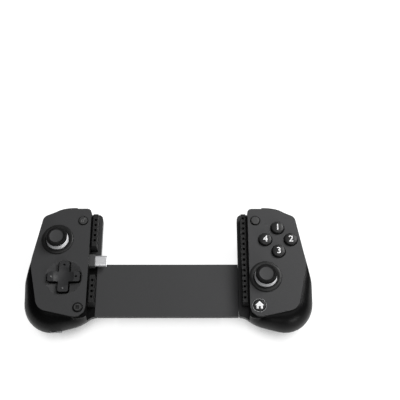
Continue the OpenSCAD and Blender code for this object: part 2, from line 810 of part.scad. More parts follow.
module left_button_mat() {
    color(silicone_grey) left() {
        difference() {
            inner_sheet(0.8, mat_d, board_d, left_stick_at);
            plug_window(mat_d - 1, board_d + 1);
            bar(pad_at, ball_r + 1.2, mat_d - 1, board_d + 1);
        }
        for (a = [0:90:270])
            dome([pad_at.x + 7.8 * cos(a), pad_at.y + 7.8 * sin(a)], 2.2, pad_dome_d);
        dome(upper_small_at, 1.8, small_dome_d);
        dome(lower_small_at, 1.8, small_dome_d);
    }
}

module right_button_mat() {
    color(silicone_grey) right() {
        inner_sheet(0.8, mat_d, board_d, right_stick_at);
        for (k = keys) dome(k, 2.8, key_dome_d);
        dome(upper_small_at, 1.8, small_dome_d);
        dome(home_at, 2, small_dome_d);
    }
}

// Stick housing: a box open at the front, with tabs under the board
module housing(at_xy) {
    translate([at_xy.x, at_xy.y, 0]) difference() {
        union() {
            block(-housing_w / 2, housing_w / 2, -housing_w / 2, housing_w / 2, housing_d, housing_end);
            block(-4, 4, -housing_w / 2 - 1.6, housing_w / 2 + 1.6, board_end, board_end + 0.8);
        }
        block(-housing_w / 2 + housing_wall, housing_w / 2 - housing_wall, -housing_w / 2 + housing_wall,
            housing_w / 2 - housing_wall, housing_d + 0.8, housing_end - 0.8);
        bar([0, 0], housing_mouth, housing_d - past, housing_d + past);
    }
}

// A square block of the gimbal, level with the tilt point
module gimbal_block(w, t) {
    translate([0, 0, at(pivot_d)]) cube([w, w, t], center = true);
}

// Yoke: the square frame that slides down when the stick is pressed
module yoke(at_xy) {
    translate([at_xy.x, at_xy.y, 0]) difference() {
        gimbal_block(yoke_w, ring_t);
        gimbal_block(yoke_in, ring_t + past);
        cross_bar(-yoke_w, yoke_w, 0, pivot_d, gimbal_r + snug);
    }
}

// Rocker: the frame between yoke and shaft, on pins along the width
module rocker(at_xy) {
    translate([at_xy.x, at_xy.y, 0]) {
        difference() {
            gimbal_block(rocker_w, ring_t);
            gimbal_block(rocker_in, ring_t + past);
            rotate(90) cross_bar(-rocker_w, rocker_w, 0, pivot_d, gimbal_r + snug);
        }
        for (s = [0, 180]) rotate(s)
            cross_bar(rocker_in / 2 + 0.5, yoke_w / 2 - 0.3, 0, pivot_d, gimbal_r);
    }
}

// Shaft: a hub on pins along the height, with the post that carries skirt and cap
module shaft(at_xy) {
    translate([at_xy.x, at_xy.y, 0]) {
        gimbal_block(hub_w, ring_t);
        rotate(90) cross_bar(-rocker_w / 2 + 0.3, rocker_w / 2 - 0.3, 0, pivot_d, gimbal_r);
        bar([0, 0], shaft_r, cap_d - shaft_seat, pivot_d);
    }
}

// Skirt: a thin dome about the tilt point that closes the collar's opening
module skirt(at_xy) {
    half = skirt_end;
    inner = skirt_r - skirt_t;
    translate([at_xy.x, at_xy.y, at(pivot_d)]) difference() {
        sphere(r = skirt_r);
        sphere(r = inner);
        translate([0, 0, skirt_r * cos(half) - 2 * skirt_r])
            cylinder(h = 2 * skirt_r, r = 2 * skirt_r);
        cylinder(h = 2 * skirt_r, r = shaft_r + press_gap);
    }
}

// Cap: a round rubber top with a soft rim and a shallow dish
module cap(at_xy) {
    h = cap_top + cap_d;
    rim = 1.3;
    dish_edge = 4.9;
    translate([at_xy.x, at_xy.y, at(cap_d)]) difference() {
        rotate_extrude() polygon(concat(
            [[0, 0], [3.4, 0], [cap_r - 1, 0.4], [cap_r, 1.1]],
            [for (a = [0:15:90]) [cap_r - rim + rim * cos(a), h - rim + rim * sin(a)]],
            [[dish_edge, h], [dish_edge - 0.3, h - 0.25], [2.4, h - 0.45], [0, h - 0.5]]
        ));
        translate([0, 0, -past]) cylinder(h = past + shaft_seat, r = shaft_r + press_gap);
    }
}

// Collar: a raised ring with a rounded top around the stick's opening
module collar(at_xy) {
    side = 0.3;
    crest = (collar_r + throat_r) / 2;
    out = collar_r - crest;
    translate([at_xy.x, at_xy.y, at(0)]) rotate_extrude() polygon(concat(
        [[stick_hole_r, 0], [collar_r, 0]],
        [for (a = [0:15:90]) [crest + out * cos(a), side + (collar_h - side) * sin(a)]],
        [for (a = [75:-15:0]) [crest - out * cos(a), lip_h + (collar_h - lip_h) * sin(a)]]
    ));
}

module left_stick_housing() {
    color(steel) left() housing(left_stick_at);
}

module right_stick_housing() {
    color(steel) right() housing(right_stick_at);
}

module left_stick_yoke() {
    color(rubber_black) left() yoke(left_stick_at);
}

module right_stick_yoke() {
    color(rubber_black) right() yoke(right_stick_at);
}

module left_stick_rocker() {
    color(silicone_grey) left() rocker(left_stick_at);
}

module right_stick_rocker() {
    color(silicone_grey) right() rocker(right_stick_at);
}

module left_stick_shaft() {
    color(rubber_black) left() shaft(left_stick_at);
}

module right_stick_shaft() {
    color(rubber_black) right() shaft(right_stick_at);
}

module left_stick_skirt() {
    color(steel) left() skirt(left_stick_at);
}

module right_stick_skirt() {
    color(steel) right() skirt(right_stick_at);
}

module left_stick_cap() {
    color(rubber_black) left() cap(left_stick_at);
}

module right_stick_cap() {
    color(rubber_black) right() cap(right_stick_at);
}

module left_stick_collar() {
    color(plate_grey) left() collar(left_stick_at);
}

module right_stick_collar() {
    color(plate_grey) right() collar(right_stick_at);
}

// Direction pad: a cross with a dished middle on a round flange, with a socket for its ball
module direction_pad() {
    color(rubber_black) left() translate([pad_at.x, pad_at.y, 0]) difference() {
        union() {
            translate([0, 0, at(pad_flange_d)]) linear_extrude(pad_flange_d + pad_proud) pad_cross(0);
            bar([0, 0], pad_flange_r, pad_flange_d, pad_flange_d + pad_flange_t);
            bar([0, 0], ball_r + 1, pad_flange_d, ball_d + 0.2);
        }
        translate([0, 0, at(-pad_proud) + pad_bowl - pad_bowl_deep]) sphere(r = pad_bowl);
        for (a = [0:90:270]) rotate(a)
            translate([pad_span / 2 - dimple_in, 0, at(-pad_proud) + dimple_r - dimple_deep])
                sphere(r = dimple_r);
        translate([0, 0, at(ball_d)]) sphere(r = ball_r + snug);
        translate([0, 0, at(ball_d) - 5]) cylinder(h = 5, r = ball_r + snug);
    }
}

module pad_pivot() {
    color(steel) left() translate([pad_at.x, pad_at.y, at(ball_d)]) sphere(r = ball_r);
}

// Face button: a domed round key with two lugs under the plate
module face_button(k) {
    edge = 0.8;
    flange_end = plate_t + flange_gap + key_flange;
    top = flange_end + key_proud;
    translate([k[0], k[1], 0]) {
        translate([0, 0, at(flange_end)]) rotate_extrude() polygon(concat(
            [[0, 0], [key_r, 0]],
            [for (a = [0:15:75]) [key_r - edge + edge * cos(a), top - edge - 0.3 + edge * sin(a)]],
            [[key_r * 0.5, top - 0.1], [0, top]]
        ));
        rotate(k[2]) translate([0, 0, at(flange_end)])
            translate([-lug_len / 2, -lug_w / 2, 0]) cube([lug_len, lug_w, key_flange]);
    }
}

module face_button_right() {
    color(rubber_black) right() face_button(keys[0]);
}

module face_button_upper() {
    color(rubber_black) right() face_button(keys[1]);
}

module face_button_left() {
    color(rubber_black) right() face_button(keys[2]);
}

module face_button_lower() {
    color(rubber_black) right() face_button(keys[3]);
}

// Small button: a low round key on a wider flange
module small_button(p, r, flange, proud) {
    top = plate_t + flange_gap + small_flange + proud;
    translate([p.x, p.y, at(plate_t + flange_gap + small_flange)]) rotate_extrude() polygon([
        [0, 0], [flange, 0], [flange, small_flange], [r, small_flange], [r, top - 0.4],
        [r - 0.15, top - 0.15], [r - 0.45, top - 0.05], [r * 0.5, top], [0, top]
    ]);
}

module left_upper_button() {
    color(plate_grey) left() small_button(upper_small_at, small_r, small_r + small_lip, small_proud);
}

module left_lower_button() {
    color(plate_grey) left() small_button(lower_small_at, small_r, small_r + small_lip, small_proud);
}

module right_upper_button() {
    color(plate_grey) right() small_button(upper_small_at, small_r, small_r + small_lip, small_proud);
}

module home_button() {
    color(shell_black) right() small_button(home_at, home_r, home_flange_r, home_proud);
}

module home_ring() {
    color(steel) right() difference() {
        bar(home_at, home_hole_r, -0.2, plate_t - 0.6);
        bar(home_at, home_hole_r - home_ring_w, -1, plate_t + 1);
    }
}

// Bumper: the plate's top edge carried back, turning on an upright pin and ending level with the shell
module bumper() {
    from = x_out - shoulder_in - bumper_fade;
    edge = [for (i = [0:len(plate_rim) - 1])
        let(p = plate_rim[i], out = mix(bumper_proud, bumper_end, ease((p.x - from) / bumper_fade)))
        p - out * inward(plate_rim, i)];
    difference() {
        sheet(edge, plate_t + bumper_gap, bumper_d);
        block(0, bumper_from, -plate_low - 9, plate_top + 9, 0, pod_d);
        block(0, x_pod, -plate_low - 9, bumper_low, 0, pod_d);
        bar(bumper_pin, pin_r + snug, 0, pod_d);
    }
}

// Trigger: a rounded quarter about a pin along the width, with a barrel on the pin
module trigger() {
    difference() {
        union() {
            intersection() {
                cross_bar(trigger_from, trigger_to, pivot_y, trigger_d, trigger_r);
                sheet(inset(shell_rim, -2.2), bumper_d + 0.5, pod_d);
                block(0, x_pod, bumper_low + 0.4, plate_top + 9, bumper_d + 0.5, pod_d);
            }
            cross_bar(trigger_from, trigger_to, pivot_y, trigger_d, barrel_r);
        }
        cross_bar(0, x_pod, pivot_y, trigger_d, pin_r + snug);
    }
}

module left_bumper() {
    color(shell_black) left() bumper();
}

module right_bumper() {
    color(shell_black) right() bumper();
}

module left_trigger() {
    color(shell_black) left() trigger();
}

module right_trigger() {
    color(shell_black) right() trigger();
}

// Pins of one bumper and one trigger
module shoulder_pins() {
    bar(bumper_pin, pin_r, plate_t - 1.2, bumper_d);
    cross_bar(rib_from, trigger_to + pin_seat, pivot_y, trigger_d, pin_r);
}

module left_shoulder_pins() {
    color(steel) left() shoulder_pins();
}

module right_shoulder_pins() {
    color(steel) right() shoulder_pins();
}

// Small upright board with one switch for the bumper and one for the trigger
module shoulder_board() {
    mid = (trigger_from + trigger_to) / 2;
    block(bumper_from + 1, trigger_to, board_top, board_top + strip_t,
        key_dome_d + 0.5, trigger_d + strip_tail);
    block(mid, mid + switch_w, board_top + strip_t / 2, board_top + strip_t + 0.8,
        bumper_d - switch_len + 0.4, bumper_d - 0.4);
    block(mid - switch_w, mid, board_top + strip_t / 2, board_top + strip_t + 0.4,
        trigger_d + strip_tail - 1 - switch_len, trigger_d + strip_tail - 1);
}

module left_shoulder_board() {
    color(board_green) left() shoulder_board();
}

module right_shoulder_board() {
    color(board_green) right() shoulder_board();
}

// Screws that draw one rear shell up to its face plate
module shell_screws() {
    for (s = screws) difference() {
        union() {
            bar(s, screw_r, s[2] - 6.5, s[2] + boss_floor + 0.1);
            bar(s, head_r, s[2] + boss_floor, s[2] + boss_floor + head_h);
        }
        for (a = [0, 90]) translate([s[0], s[1], at(s[2] + boss_floor + head_h + 0.1)]) rotate(a)
            translate([-1.1, -0.25, 0]) cube([2.2, 0.5, 0.8]);
    }
}

module left_screws() {
    color(steel) left() shell_screws();
}

module right_screws() {
    color(steel) right() shell_screws();
}

// Plug bracket: two ears and a strap behind the wall, holding the plug's pin
module plug_bracket() {
    ear = plug_half + 0.3;
    color(steel) left() difference() {
        block(x_in + wall + snug, plug_pin_x + 5.4, plug_y - ear - 1.2, plug_y + ear + 1.2,
            plug_d - 2.2, plug_d + 2.2);
        block(x_in, plug_pin_x + 4.4, plug_y - ear, plug_y + ear, 0, pod_d);
        translate([plug_pin_x, plug_y + 10, plug_z]) rotate([90, 0, 0]) cylinder(h = 20, r = pin_r + snug);
    }
}

module plug_pin() {
    half = plug_half + 1.5;
    color(steel) left() translate([plug_pin_x, plug_y + half, plug_z]) rotate([90, 0, 0])
        cylinder(h = 2 * half, r = pin_r);
}

// Plug carrier: the block that the plug stands on, rounded about its pin
module plug_carrier() {
    color(rubber_black) left() difference() {
        union() {
            block(plug_face, plug_pin_x, plug_y - plug_half, plug_y + plug_half,
                plug_d - plug_block_t / 2, plug_d + plug_block_t / 2);
            translate([plug_pin_x, plug_y + plug_half, plug_z]) rotate([90, 0, 0])
                cylinder(h = 2 * plug_half, r = plug_block_t / 2);
        }
        translate([plug_pin_x, plug_y + 10, plug_z]) rotate([90, 0, 0]) cylinder(h = 20, r = pin_r + snug);
    }
}

// Plug shell: the hollow metal tongue that goes into the phone
module plug_shell() {
    color(steel) left() translate([plug_face, plug_y, plug_z]) rotate([90, 0, -90]) difference() {
        linear_extrude(plug_len) stadium(plug_w, plug_t);
        translate([0, 0, past]) linear_extrude(plug_len)
            stadium(plug_w - 2 * plug_skin, plug_t - 2 * plug_skin);
    }
}

// Small board under the charge socket, grown for its seat in the shell
module port_board(grow) {
    translate([port_x, port_lip + 5.7, at(port_d + port_t / 2 + 0.4)])
        cube([12 + 2 * grow, 7 + 2 * grow, 0.8 + 2 * grow], center = true);
}

// Charge socket: a metal mouth with its tongue, on a small board
module charge_port() {
    color(steel) left() {
        translate([port_x, port_lip, at(port_d)]) rotate([-90, 0, 0]) {
            difference() {
                linear_extrude(port_len) stadium(port_w, port_t);
                translate([0, 0, -past]) linear_extrude(port_len) stadium(port_w - 0.7, port_t - 0.7);
            }
            translate([-3.3, -0.35, 1]) cube([6.6, 0.7, port_len - 1.5]);
        }
        port_board(0);
    }
}

// Plate of the spring anchor, grown for its seat in the shell
module anchor_plate(grow) {
    block(x_in + wall, x_in + wall + 1 + grow, sled_low - 0.3 - grow, sled_top + 0.8 + grow,
        sled_front_d - 0.8 - grow, sled_back_d - 0.2 + grow);
}

// Spring anchor: a steel plate behind the left ledge that the springs pull against
module spring_anchor() {
    color(steel) left() difference() {
        anchor_plate(0);
        block(x_in, x_in + wall + 2, bridge_mid_y - cable_w / 2 - 0.5, bridge_mid_y + cable_w / 2 + 0.5,
            sled_front_d - 0.4, sled_back_d - 0.6);
    }
}

// Bridge front cover: the flat plate that the phone's back lies on
module bridge_front_cover() {
    color(plate_grey) translate([-x_ledge - tongue + seam, -bridge_low + y_shift, at(rest_d + cover_t)])
        cube([2 * x_ledge + tongue - 2 * seam, bridge_low + bridge_top, cover_t]);
}

// Bridge rear cover: a trough with rounded rear edges that the sled runs in
module bridge_rear_cover() {
    length = 2 * x_ledge - seam;
    tall = bridge_low + bridge_top;
    deep = bridge_d - rest_d - cover_t;
    top_r = 2;
    color(shell_black) translate([-x_ledge, y_shift, at(rest_d + cover_t)]) rotate([90, 0, 90])
        difference() {
            linear_extrude(length) polygon(concat(
                [[-bridge_low, 0]],
                [for (a = [180:10:270]) [-bridge_low, -deep] + bridge_round * [1 + cos(a), 1 + sin(a)]],
                [for (a = [270:10:360]) [bridge_top, -deep] + top_r * [cos(a) - 1, 1 + sin(a)]],
                [[bridge_top, 0]]
            ));
            translate([-bridge_low + bar_t, -deep + wall, -past])
                cube([tall - bar_t - wall, deep, length + 2 * past]);
        }
}

// Sled: the flat tube on the right half that runs inside the bridge
module bridge_sled() {
    color(rubber_black) translate([0, y_shift, 0]) difference() {
        translate([-sled_end, sled_low, sled_back])
            cube([2 * sled_end, sled_top - sled_low, sled_front - sled_back]);
        translate([-sled_end - 1, sled_low + sled_t, sled_back + sled_t])
            cube([2 * sled_end - 1, sled_top - sled_low - 2 * sled_t, sled_front - sled_back - 2 * sled_t]);
        translate([0, bridge_mid_y - cable_w / 2 - 0.5, sled_back + sled_t])
            cube([2 * sled_end, cable_w + 1, sled_front - sled_back - 2 * sled_t]);
    }
}

// Return springs: two close-wound coils from the anchor to the far end of the sled
module bridge_springs() {
    color(steel) translate([0, y_shift, 0]) for (s = [-1, 1])
        translate([-x_in - wall, bridge_mid_y + s * spring_y, bridge_mid_z]) rotate([0, 90, 0])
            difference() {
                cylinder(h = x_in + wall + sled_end - 2, r = spring_r);
                translate([0, 0, -1]) cylinder(h = 2 * phone_gap, r = spring_r * 2 / 3);
            }
}

// Flex cable: a ribbon folded twice inside the sled, with a leg up to each board
module flex_cable() {
    low = sled_back + sled_t + 0.15;
    step = (sled_front - sled_back - 2 * sled_t - 0.3 - cable_t) / 2;
    fold_right = x_in - 16;
    fold_left = fold_right - travel / 2 - cable_spare;
    leg = x_in + wall + 1.6;
    y0 = bridge_mid_y - cable_w / 2;
    color([0.75, 0.45, 0.1]) translate([0, y_shift + y0, 0]) {
        translate([-leg, 0, low]) cube([leg + fold_right, cable_w, cable_t]);
        translate([fold_left, 0, low + step]) cube([fold_right - fold_left, cable_w, cable_t]);
        translate([fold_left, 0, low + 2 * step]) cube([leg - fold_left, cable_w, cable_t]);
        for (f = [[fold_right, 0, low], [fold_left, 180, low + step]])
            translate([f[0], f[1] == 0 ? cable_w : 0, f[2] + (step + cable_t) / 2])
                rotate([90, 0, f[1]]) rotate_extrude(angle = 180, start = -90)
                    translate([(step - cable_t) / 2, 0]) square([cable_t, cable_w]);
        translate([-leg - cable_t, 0, low]) cube([cable_t, cable_w, at(board_end) - low]);
        translate([leg, 0, low + 2 * step]) cube([cable_t, cable_w, at(board_end) - low - 2 * step]);
    }
}

left_face_plate();
left_rear_shell();
left_grip_panel();
left_end_pads();
left_circuit_board();
left_button_mat();
left_stick_housing();
left_stick_collar();
left_shoulder_pins();
left_shoulder_board();
left_screws();
left_stick_yoke();
left_stick_rocker();
left_stick_shaft();
left_stick_skirt();
left_stick_cap();
direction_pad();
pad_pivot();
left_upper_button();
left_lower_button();
left_bumper();
left_trigger();
plug_bracket();
plug_pin();
plug_carrier();
plug_shell();
charge_port();
spring_anchor();
bridge_front_cover();
bridge_rear_cover();
bridge_sled();
bridge_springs();
flex_cable();
right_face_plate();
right_rear_shell();
right_grip_panel();
right_end_pad();
right_circuit_board();
right_button_mat();
right_stick_housing();
right_stick_collar();
right_shoulder_pins();
right_shoulder_board();
right_screws();
right_stick_yoke();
right_stick_rocker();
right_stick_shaft();
right_stick_skirt();
right_stick_cap();
face_button_right();
face_button_upper();
face_button_left();
face_button_lower();
right_upper_button();
home_button();
home_ring();
right_bumper();
right_trigger();
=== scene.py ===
import json
import math

import bmesh
import bpy
from mathutils import Matrix, Vector
from mathutils.bvhtree import BVHTree


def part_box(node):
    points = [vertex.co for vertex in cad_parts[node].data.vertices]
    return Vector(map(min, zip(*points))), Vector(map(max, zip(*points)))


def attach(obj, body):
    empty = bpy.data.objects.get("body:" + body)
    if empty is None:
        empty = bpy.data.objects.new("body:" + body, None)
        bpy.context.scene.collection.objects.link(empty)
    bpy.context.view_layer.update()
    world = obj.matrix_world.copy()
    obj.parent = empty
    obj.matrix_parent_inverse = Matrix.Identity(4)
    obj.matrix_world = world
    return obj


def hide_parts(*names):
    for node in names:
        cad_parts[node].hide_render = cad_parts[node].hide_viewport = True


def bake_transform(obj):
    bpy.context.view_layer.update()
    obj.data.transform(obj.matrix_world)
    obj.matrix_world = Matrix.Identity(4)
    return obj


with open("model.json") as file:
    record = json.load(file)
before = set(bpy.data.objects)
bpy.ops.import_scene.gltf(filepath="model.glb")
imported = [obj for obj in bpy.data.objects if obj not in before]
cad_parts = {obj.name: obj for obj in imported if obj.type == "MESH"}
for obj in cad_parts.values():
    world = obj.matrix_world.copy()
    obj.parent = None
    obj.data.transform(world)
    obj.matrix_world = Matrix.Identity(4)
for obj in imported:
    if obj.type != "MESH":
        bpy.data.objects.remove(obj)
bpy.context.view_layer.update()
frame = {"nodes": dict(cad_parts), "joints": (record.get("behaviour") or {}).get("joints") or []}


# Rear shells: two black moulded halves, each with a palm pod, a trigger hump and a flat ledge.
# Satin plastic from a finely spark-eroded mould, with charcoal on the ledges that is partly paint and partly
# painted light, lifting ledges the face plates shade.
# Two screws draw each shell up to its face plate.

MM = 0.001
SIDES = ("left", "right")
nodes = frame["nodes"]


def group_tree(name, kind, inputs, outputs):
    """A node group with named inputs and outputs, and its two end nodes."""
    tree = bpy.data.node_groups.new(name, kind)
    for label, socket, value in inputs:
        made = tree.interface.new_socket(label, in_out="INPUT", socket_type=socket)
        if value is not None:
            made.default_value = value
    for label, socket in outputs:
        tree.interface.new_socket(label, in_out="OUTPUT", socket_type=socket)
    return tree, tree.nodes.new("NodeGroupInput"), tree.nodes.new("NodeGroupOutput")


def node_with(tree, kind, values=None, **settings):
    """A new node with its settings and the values of its unlinked inputs."""
    made = tree.nodes.new(kind)
    for key, value in settings.items():
        setattr(made, key, value)
    for key, value in (values or {}).items():
        made.inputs[key].default_value = value
    return made


def soft_shading_tree():
    """Shades faces smoothly across edges that turn less than the given angle."""
    tree, start, end = group_tree(
        "soft_shading", "GeometryNodeTree",
        [("Geometry", "NodeSocketGeometry", None), ("Angle", "NodeSocketFloat", 0.6)],
        [("Geometry", "NodeSocketGeometry")],
    )
    turn = tree.nodes.new("GeometryNodeInputMeshEdgeAngle")
    below = node_with(tree, "FunctionNodeCompare", operation="LESS_THAN")
    edges = node_with(tree, "GeometryNodeSetShadeSmooth", domain="EDGE")
    faces = node_with(tree, "GeometryNodeSetShadeSmooth", domain="FACE")
    link = tree.links.new
    link(turn.outputs["Unsigned Angle"], below.inputs["A"])
    link(start.outputs["Angle"], below.inputs["B"])
    link(start.outputs["Geometry"], edges.inputs["Geometry"])
    link(below.outputs["Result"], edges.inputs["Shade Smooth"])
    link(edges.outputs["Geometry"], faces.inputs["Geometry"])
    link(faces.outputs["Geometry"], end.inputs["Geometry"])
    return tree


soft_shading = soft_shading_tree()
joined_within = 0.002 * MM
flat_within = math.radians(0.05)
edge_segments = 3
sharp_turn = 32.0


def finish_edges(obj, radius=0.0, angle=sharp_turn):
    """Joins a piece's faces, rounds its sharp edges by a radius in millimetres and shades it softly."""
    weld = obj.modifiers.new("joined_faces", "WELD")
    weld.merge_threshold = joined_within
    if radius:
        flats = obj.modifiers.new("whole_flats", "DECIMATE")
        flats.decimate_type = "DISSOLVE"
        flats.angle_limit = flat_within
        bevel = obj.modifiers.new("rounded_edges", "BEVEL")
        bevel.width = radius * MM
        bevel.segments = edge_segments
        bevel.limit_method = "ANGLE"
        bevel.angle_limit = math.radians(angle)
    shade = obj.modifiers.new("soft_shading", "NODES")
    shade.node_group = soft_shading
    shade["Socket_1"] = math.radians(angle)
    if radius:
        true_flats = obj.modifiers.new("true_flats", "WEIGHTED_NORMAL")
        true_flats.keep_sharp = True


def moulded_grain_tree():
    """Fine mould grain with slow mottling and handled patches: colour, roughness and height."""
    tree, start, end = group_tree(
        "moulded_grain", "ShaderNodeTree",
        [("Color", "NodeSocketColor", (0.02, 0.02, 0.02, 1)), ("Mottle", "NodeSocketFloat", 0.12),
         ("Roughness", "NodeSocketFloat", 0.5), ("Polish", "NodeSocketFloat", 0.08),
         ("Grain per metre", "NodeSocketFloat", 2600.0)],
        [("Color", "NodeSocketColor"), ("Roughness", "NodeSocketFloat"), ("Height", "NodeSocketFloat")],
    )
    link = tree.links.new
    place = tree.nodes.new("ShaderNodeTexCoord")
    slow = node_with(tree, "ShaderNodeTexNoise", {"Scale": 45.0, "Detail": 3.0})
    grain = node_with(tree, "ShaderNodeTexNoise", {"Detail": 2.0, "Roughness": 0.6})
    link(place.outputs["Object"], slow.inputs["Vector"])
    link(place.outputs["Object"], grain.inputs["Vector"])
    link(start.outputs["Grain per metre"], grain.inputs["Scale"])
    centred = node_with(tree, "ShaderNodeMath", {1: 0.5}, operation="SUBTRACT")
    link(slow.outputs["Fac"], centred.inputs[0])
    tint = node_with(tree, "ShaderNodeMath", {2: 1.0}, operation="MULTIPLY_ADD")
    link(centred.outputs[0], tint.inputs[0])
    link(start.outputs["Mottle"], tint.inputs[1])
    speck = node_with(tree, "ShaderNodeMapRange",
                      {"From Min": 0.3, "From Max": 0.7, "To Min": 0.92, "To Max": 1.08})
    link(grain.outputs["Fac"], speck.inputs["Value"])
    shade = node_with(tree, "ShaderNodeMath", operation="MULTIPLY")
    link(tint.outputs[0], shade.inputs[0])
    link(speck.outputs["Result"], shade.inputs[1])
    colour = node_with(tree, "ShaderNodeVectorMath", operation="SCALE")
    link(start.outputs["Color"], colour.inputs["Vector"])
    link(shade.outputs[0], colour.inputs["Scale"])
    link(colour.outputs["Vector"], end.inputs["Color"])
    gloss = node_with(tree, "ShaderNodeMath", operation="MULTIPLY_ADD", use_clamp=True)
    link(centred.outputs[0], gloss.inputs[0])
    link(start.outputs["Polish"], gloss.inputs[1])
    link(start.outputs["Roughness"], gloss.inputs[2])
    link(gloss.outputs[0], end.inputs["Roughness"])
    link(grain.outputs["Fac"], end.inputs["Height"])
    return tree


moulded_grain = moulded_grain_tree()


def moulded(name, colour, rough, mottle=0.12, polish=0.08, grain=2600.0, depth=0.03,
            specular=0.35, metallic=0.0):
    """A moulded or cast surface: one colour with mould grain of a depth in millimetres."""
    material = bpy.data.materials.new(name)
    material.use_nodes = True
    tree = material.node_tree
    shader = tree.nodes["Principled BSDF"]
    shader.inputs["Specular IOR Level"].default_value = specular
    shader.inputs["Metallic"].default_value = metallic
    grained = node_with(tree, "ShaderNodeGroup", {
        "Color": (*colour, 1), "Mottle": mottle, "Roughness": rough, "Polish": polish,
        "Grain per metre": grain,
    }, node_tree=moulded_grain, name="grain")
    bump = node_with(tree, "ShaderNodeBump", {"Strength": 0.5, "Distance": depth * MM}, name="relief")
    tree.links.new(grained.outputs["Color"], shader.inputs["Base Color"])
    tree.links.new(grained.outputs["Roughness"], shader.inputs["Roughness"])
    tree.links.new(grained.outputs["Height"], bump.inputs["Height"])
    tree.links.new(bump.outputs["Normal"], shader.inputs["Normal"])
    return material


def dress(name, material, radius=0.0, angle=sharp_turn):
    """Gives a solid its finish and rounds its edges by a radius in millimetres."""
    obj = nodes[name]
    obj.data.materials.clear()
    obj.data.materials.append(material)
    finish_edges(obj, radius, angle)


def painted_top_tree():
    """A painted upper face over near-black walls below it: base plastic, and partly painted shade that
    darkens the walls of gaps and cut-outs.
    """
    tree, start, end = group_tree(
        "top_paint_wall_shade", "ShaderNodeTree",
        [("Paint", "NodeSocketColor", (0.05, 0.05, 0.05, 1)),
         # Base: the near-black of the walls, partly painted shade for the gaps between parts.
         ("Base", "NodeSocketColor", (0.004, 0.004, 0.004, 1)),
         ("Painted above", "NodeSocketFloat", 1.0)],
        [("Color", "NodeSocketColor")],
    )
    link = tree.links.new
    place = tree.nodes.new("ShaderNodeTexCoord")
    facing = tree.nodes.new("ShaderNodeSeparateXYZ")
    level = tree.nodes.new("ShaderNodeSeparateXYZ")
    upward = node_with(tree, "ShaderNodeMapRange", {"From Min": 0.8, "From Max": 0.93})
    above = node_with(tree, "ShaderNodeMath", operation="GREATER_THAN")
    painted = node_with(tree, "ShaderNodeMath", operation="MAXIMUM")
    coat = node_with(tree, "ShaderNodeMix", data_type="RGBA")
    link(place.outputs["Normal"], facing.inputs["Vector"])
    link(facing.outputs["Z"], upward.inputs["Value"])
    link(place.outputs["Object"], level.inputs["Vector"])
    link(level.outputs["Z"], above.inputs[0])
    link(start.outputs["Painted above"], above.inputs[1])
    link(upward.outputs["Result"], painted.inputs[0])
    link(above.outputs[0], painted.inputs[1])
    link(painted.outputs[0], coat.inputs["Factor"])
    link(start.outputs["Base"], coat.inputs["A"])
    link(start.outputs["Paint"], coat.inputs["B"])
    link(coat.outputs["Result"], end.inputs["Color"])
    return tree


top_paint_wall_shade = painted_top_tree()
over_everything = 1.0


def paint_top(material, paint, above=over_everything):
    """Leads a colour to a shader as paint on the upper faces and on all that lies above a height; the walls
    below get near-black, partly painted shade.
    """
    tree = material.node_tree
    coat = node_with(tree, "ShaderNodeGroup", {"Painted above": above}, node_tree=top_paint_wall_shade)
    tree.links.new(paint, coat.inputs["Paint"])
    tree.links.new(coat.outputs["Color"], tree.nodes["Principled BSDF"].inputs["Base Color"])


def shell_finish():
    """Black plastic, with charcoal on the right ledge and on the left one above the bridge: partly paint,
    partly painted light on shaded ledges.
    """
    material = moulded("shell_black", (0.0025, 0.0025, 0.0026), 0.36, polish=0.06, specular=0.11)
    tree = material.node_tree
    link = tree.links.new
    ledge_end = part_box("right_face_plate")[0].x
    above_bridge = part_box("bridge_front_cover")[1].y
    place = tree.nodes.new("ShaderNodeTexCoord")
    parts = tree.nodes.new("ShaderNodeSeparateXYZ")
    away = node_with(tree, "ShaderNodeMath", operation="ABSOLUTE")
    inner = node_with(tree, "ShaderNodeMath", {1: ledge_end}, operation="LESS_THAN")
    upper = node_with(tree, "ShaderNodeMath", {1: above_bridge}, operation="GREATER_THAN")
    right = node_with(tree, "ShaderNodeMath", {1: 0.0}, operation="GREATER_THAN")
    painted = node_with(tree, "ShaderNodeMath", operation="MAXIMUM")
    ledge_paint_and_light = node_with(tree, "ShaderNodeMath", operation="MULTIPLY")
    # This charcoal is partly painted light: it lifts ledges that lie in the face plates' shade.
    blend = node_with(tree, "ShaderNodeMix", {"B": (0.045, 0.045, 0.0455, 1)}, data_type="RGBA")
    link(place.outputs["Object"], parts.inputs["Vector"])
    link(parts.outputs["X"], away.inputs[0])
    link(away.outputs[0], inner.inputs[0])
    link(parts.outputs["Y"], upper.inputs[0])
    link(parts.outputs["X"], right.inputs[0])
    link(upper.outputs[0], painted.inputs[0])
    link(right.outputs[0], painted.inputs[1])
    link(inner.outputs[0], ledge_paint_and_light.inputs[0])
    link(painted.outputs[0], ledge_paint_and_light.inputs[1])
    link(ledge_paint_and_light.outputs[0], blend.inputs["Factor"])
    link(tree.nodes["grain"].outputs["Color"], blend.inputs["A"])
    paint_top(material, blend.outputs["Result"])
    return material


shell_black = shell_finish()
for side in SIDES:
    dress(side + "_rear_shell", shell_black, angle=40)


# Grip panels: thin soft rubber skins let into the back of each palm pod.
# Moulded with a fine leather-like grain and glued down along their edge.

grip_rubber = moulded("grip_rubber", (0.008, 0.008, 0.008), 0.66, grain=1100, depth=0.12, specular=0.2)
for side in SIDES:
    dress(side + "_grip_panel", grip_rubber, angle=50)


# Bridge: a rear trough and a flat front cover on the left half, and the sled of the right half between them.
# Charcoal and black plastic; the steel anchor plate stands in the left shell's wall.

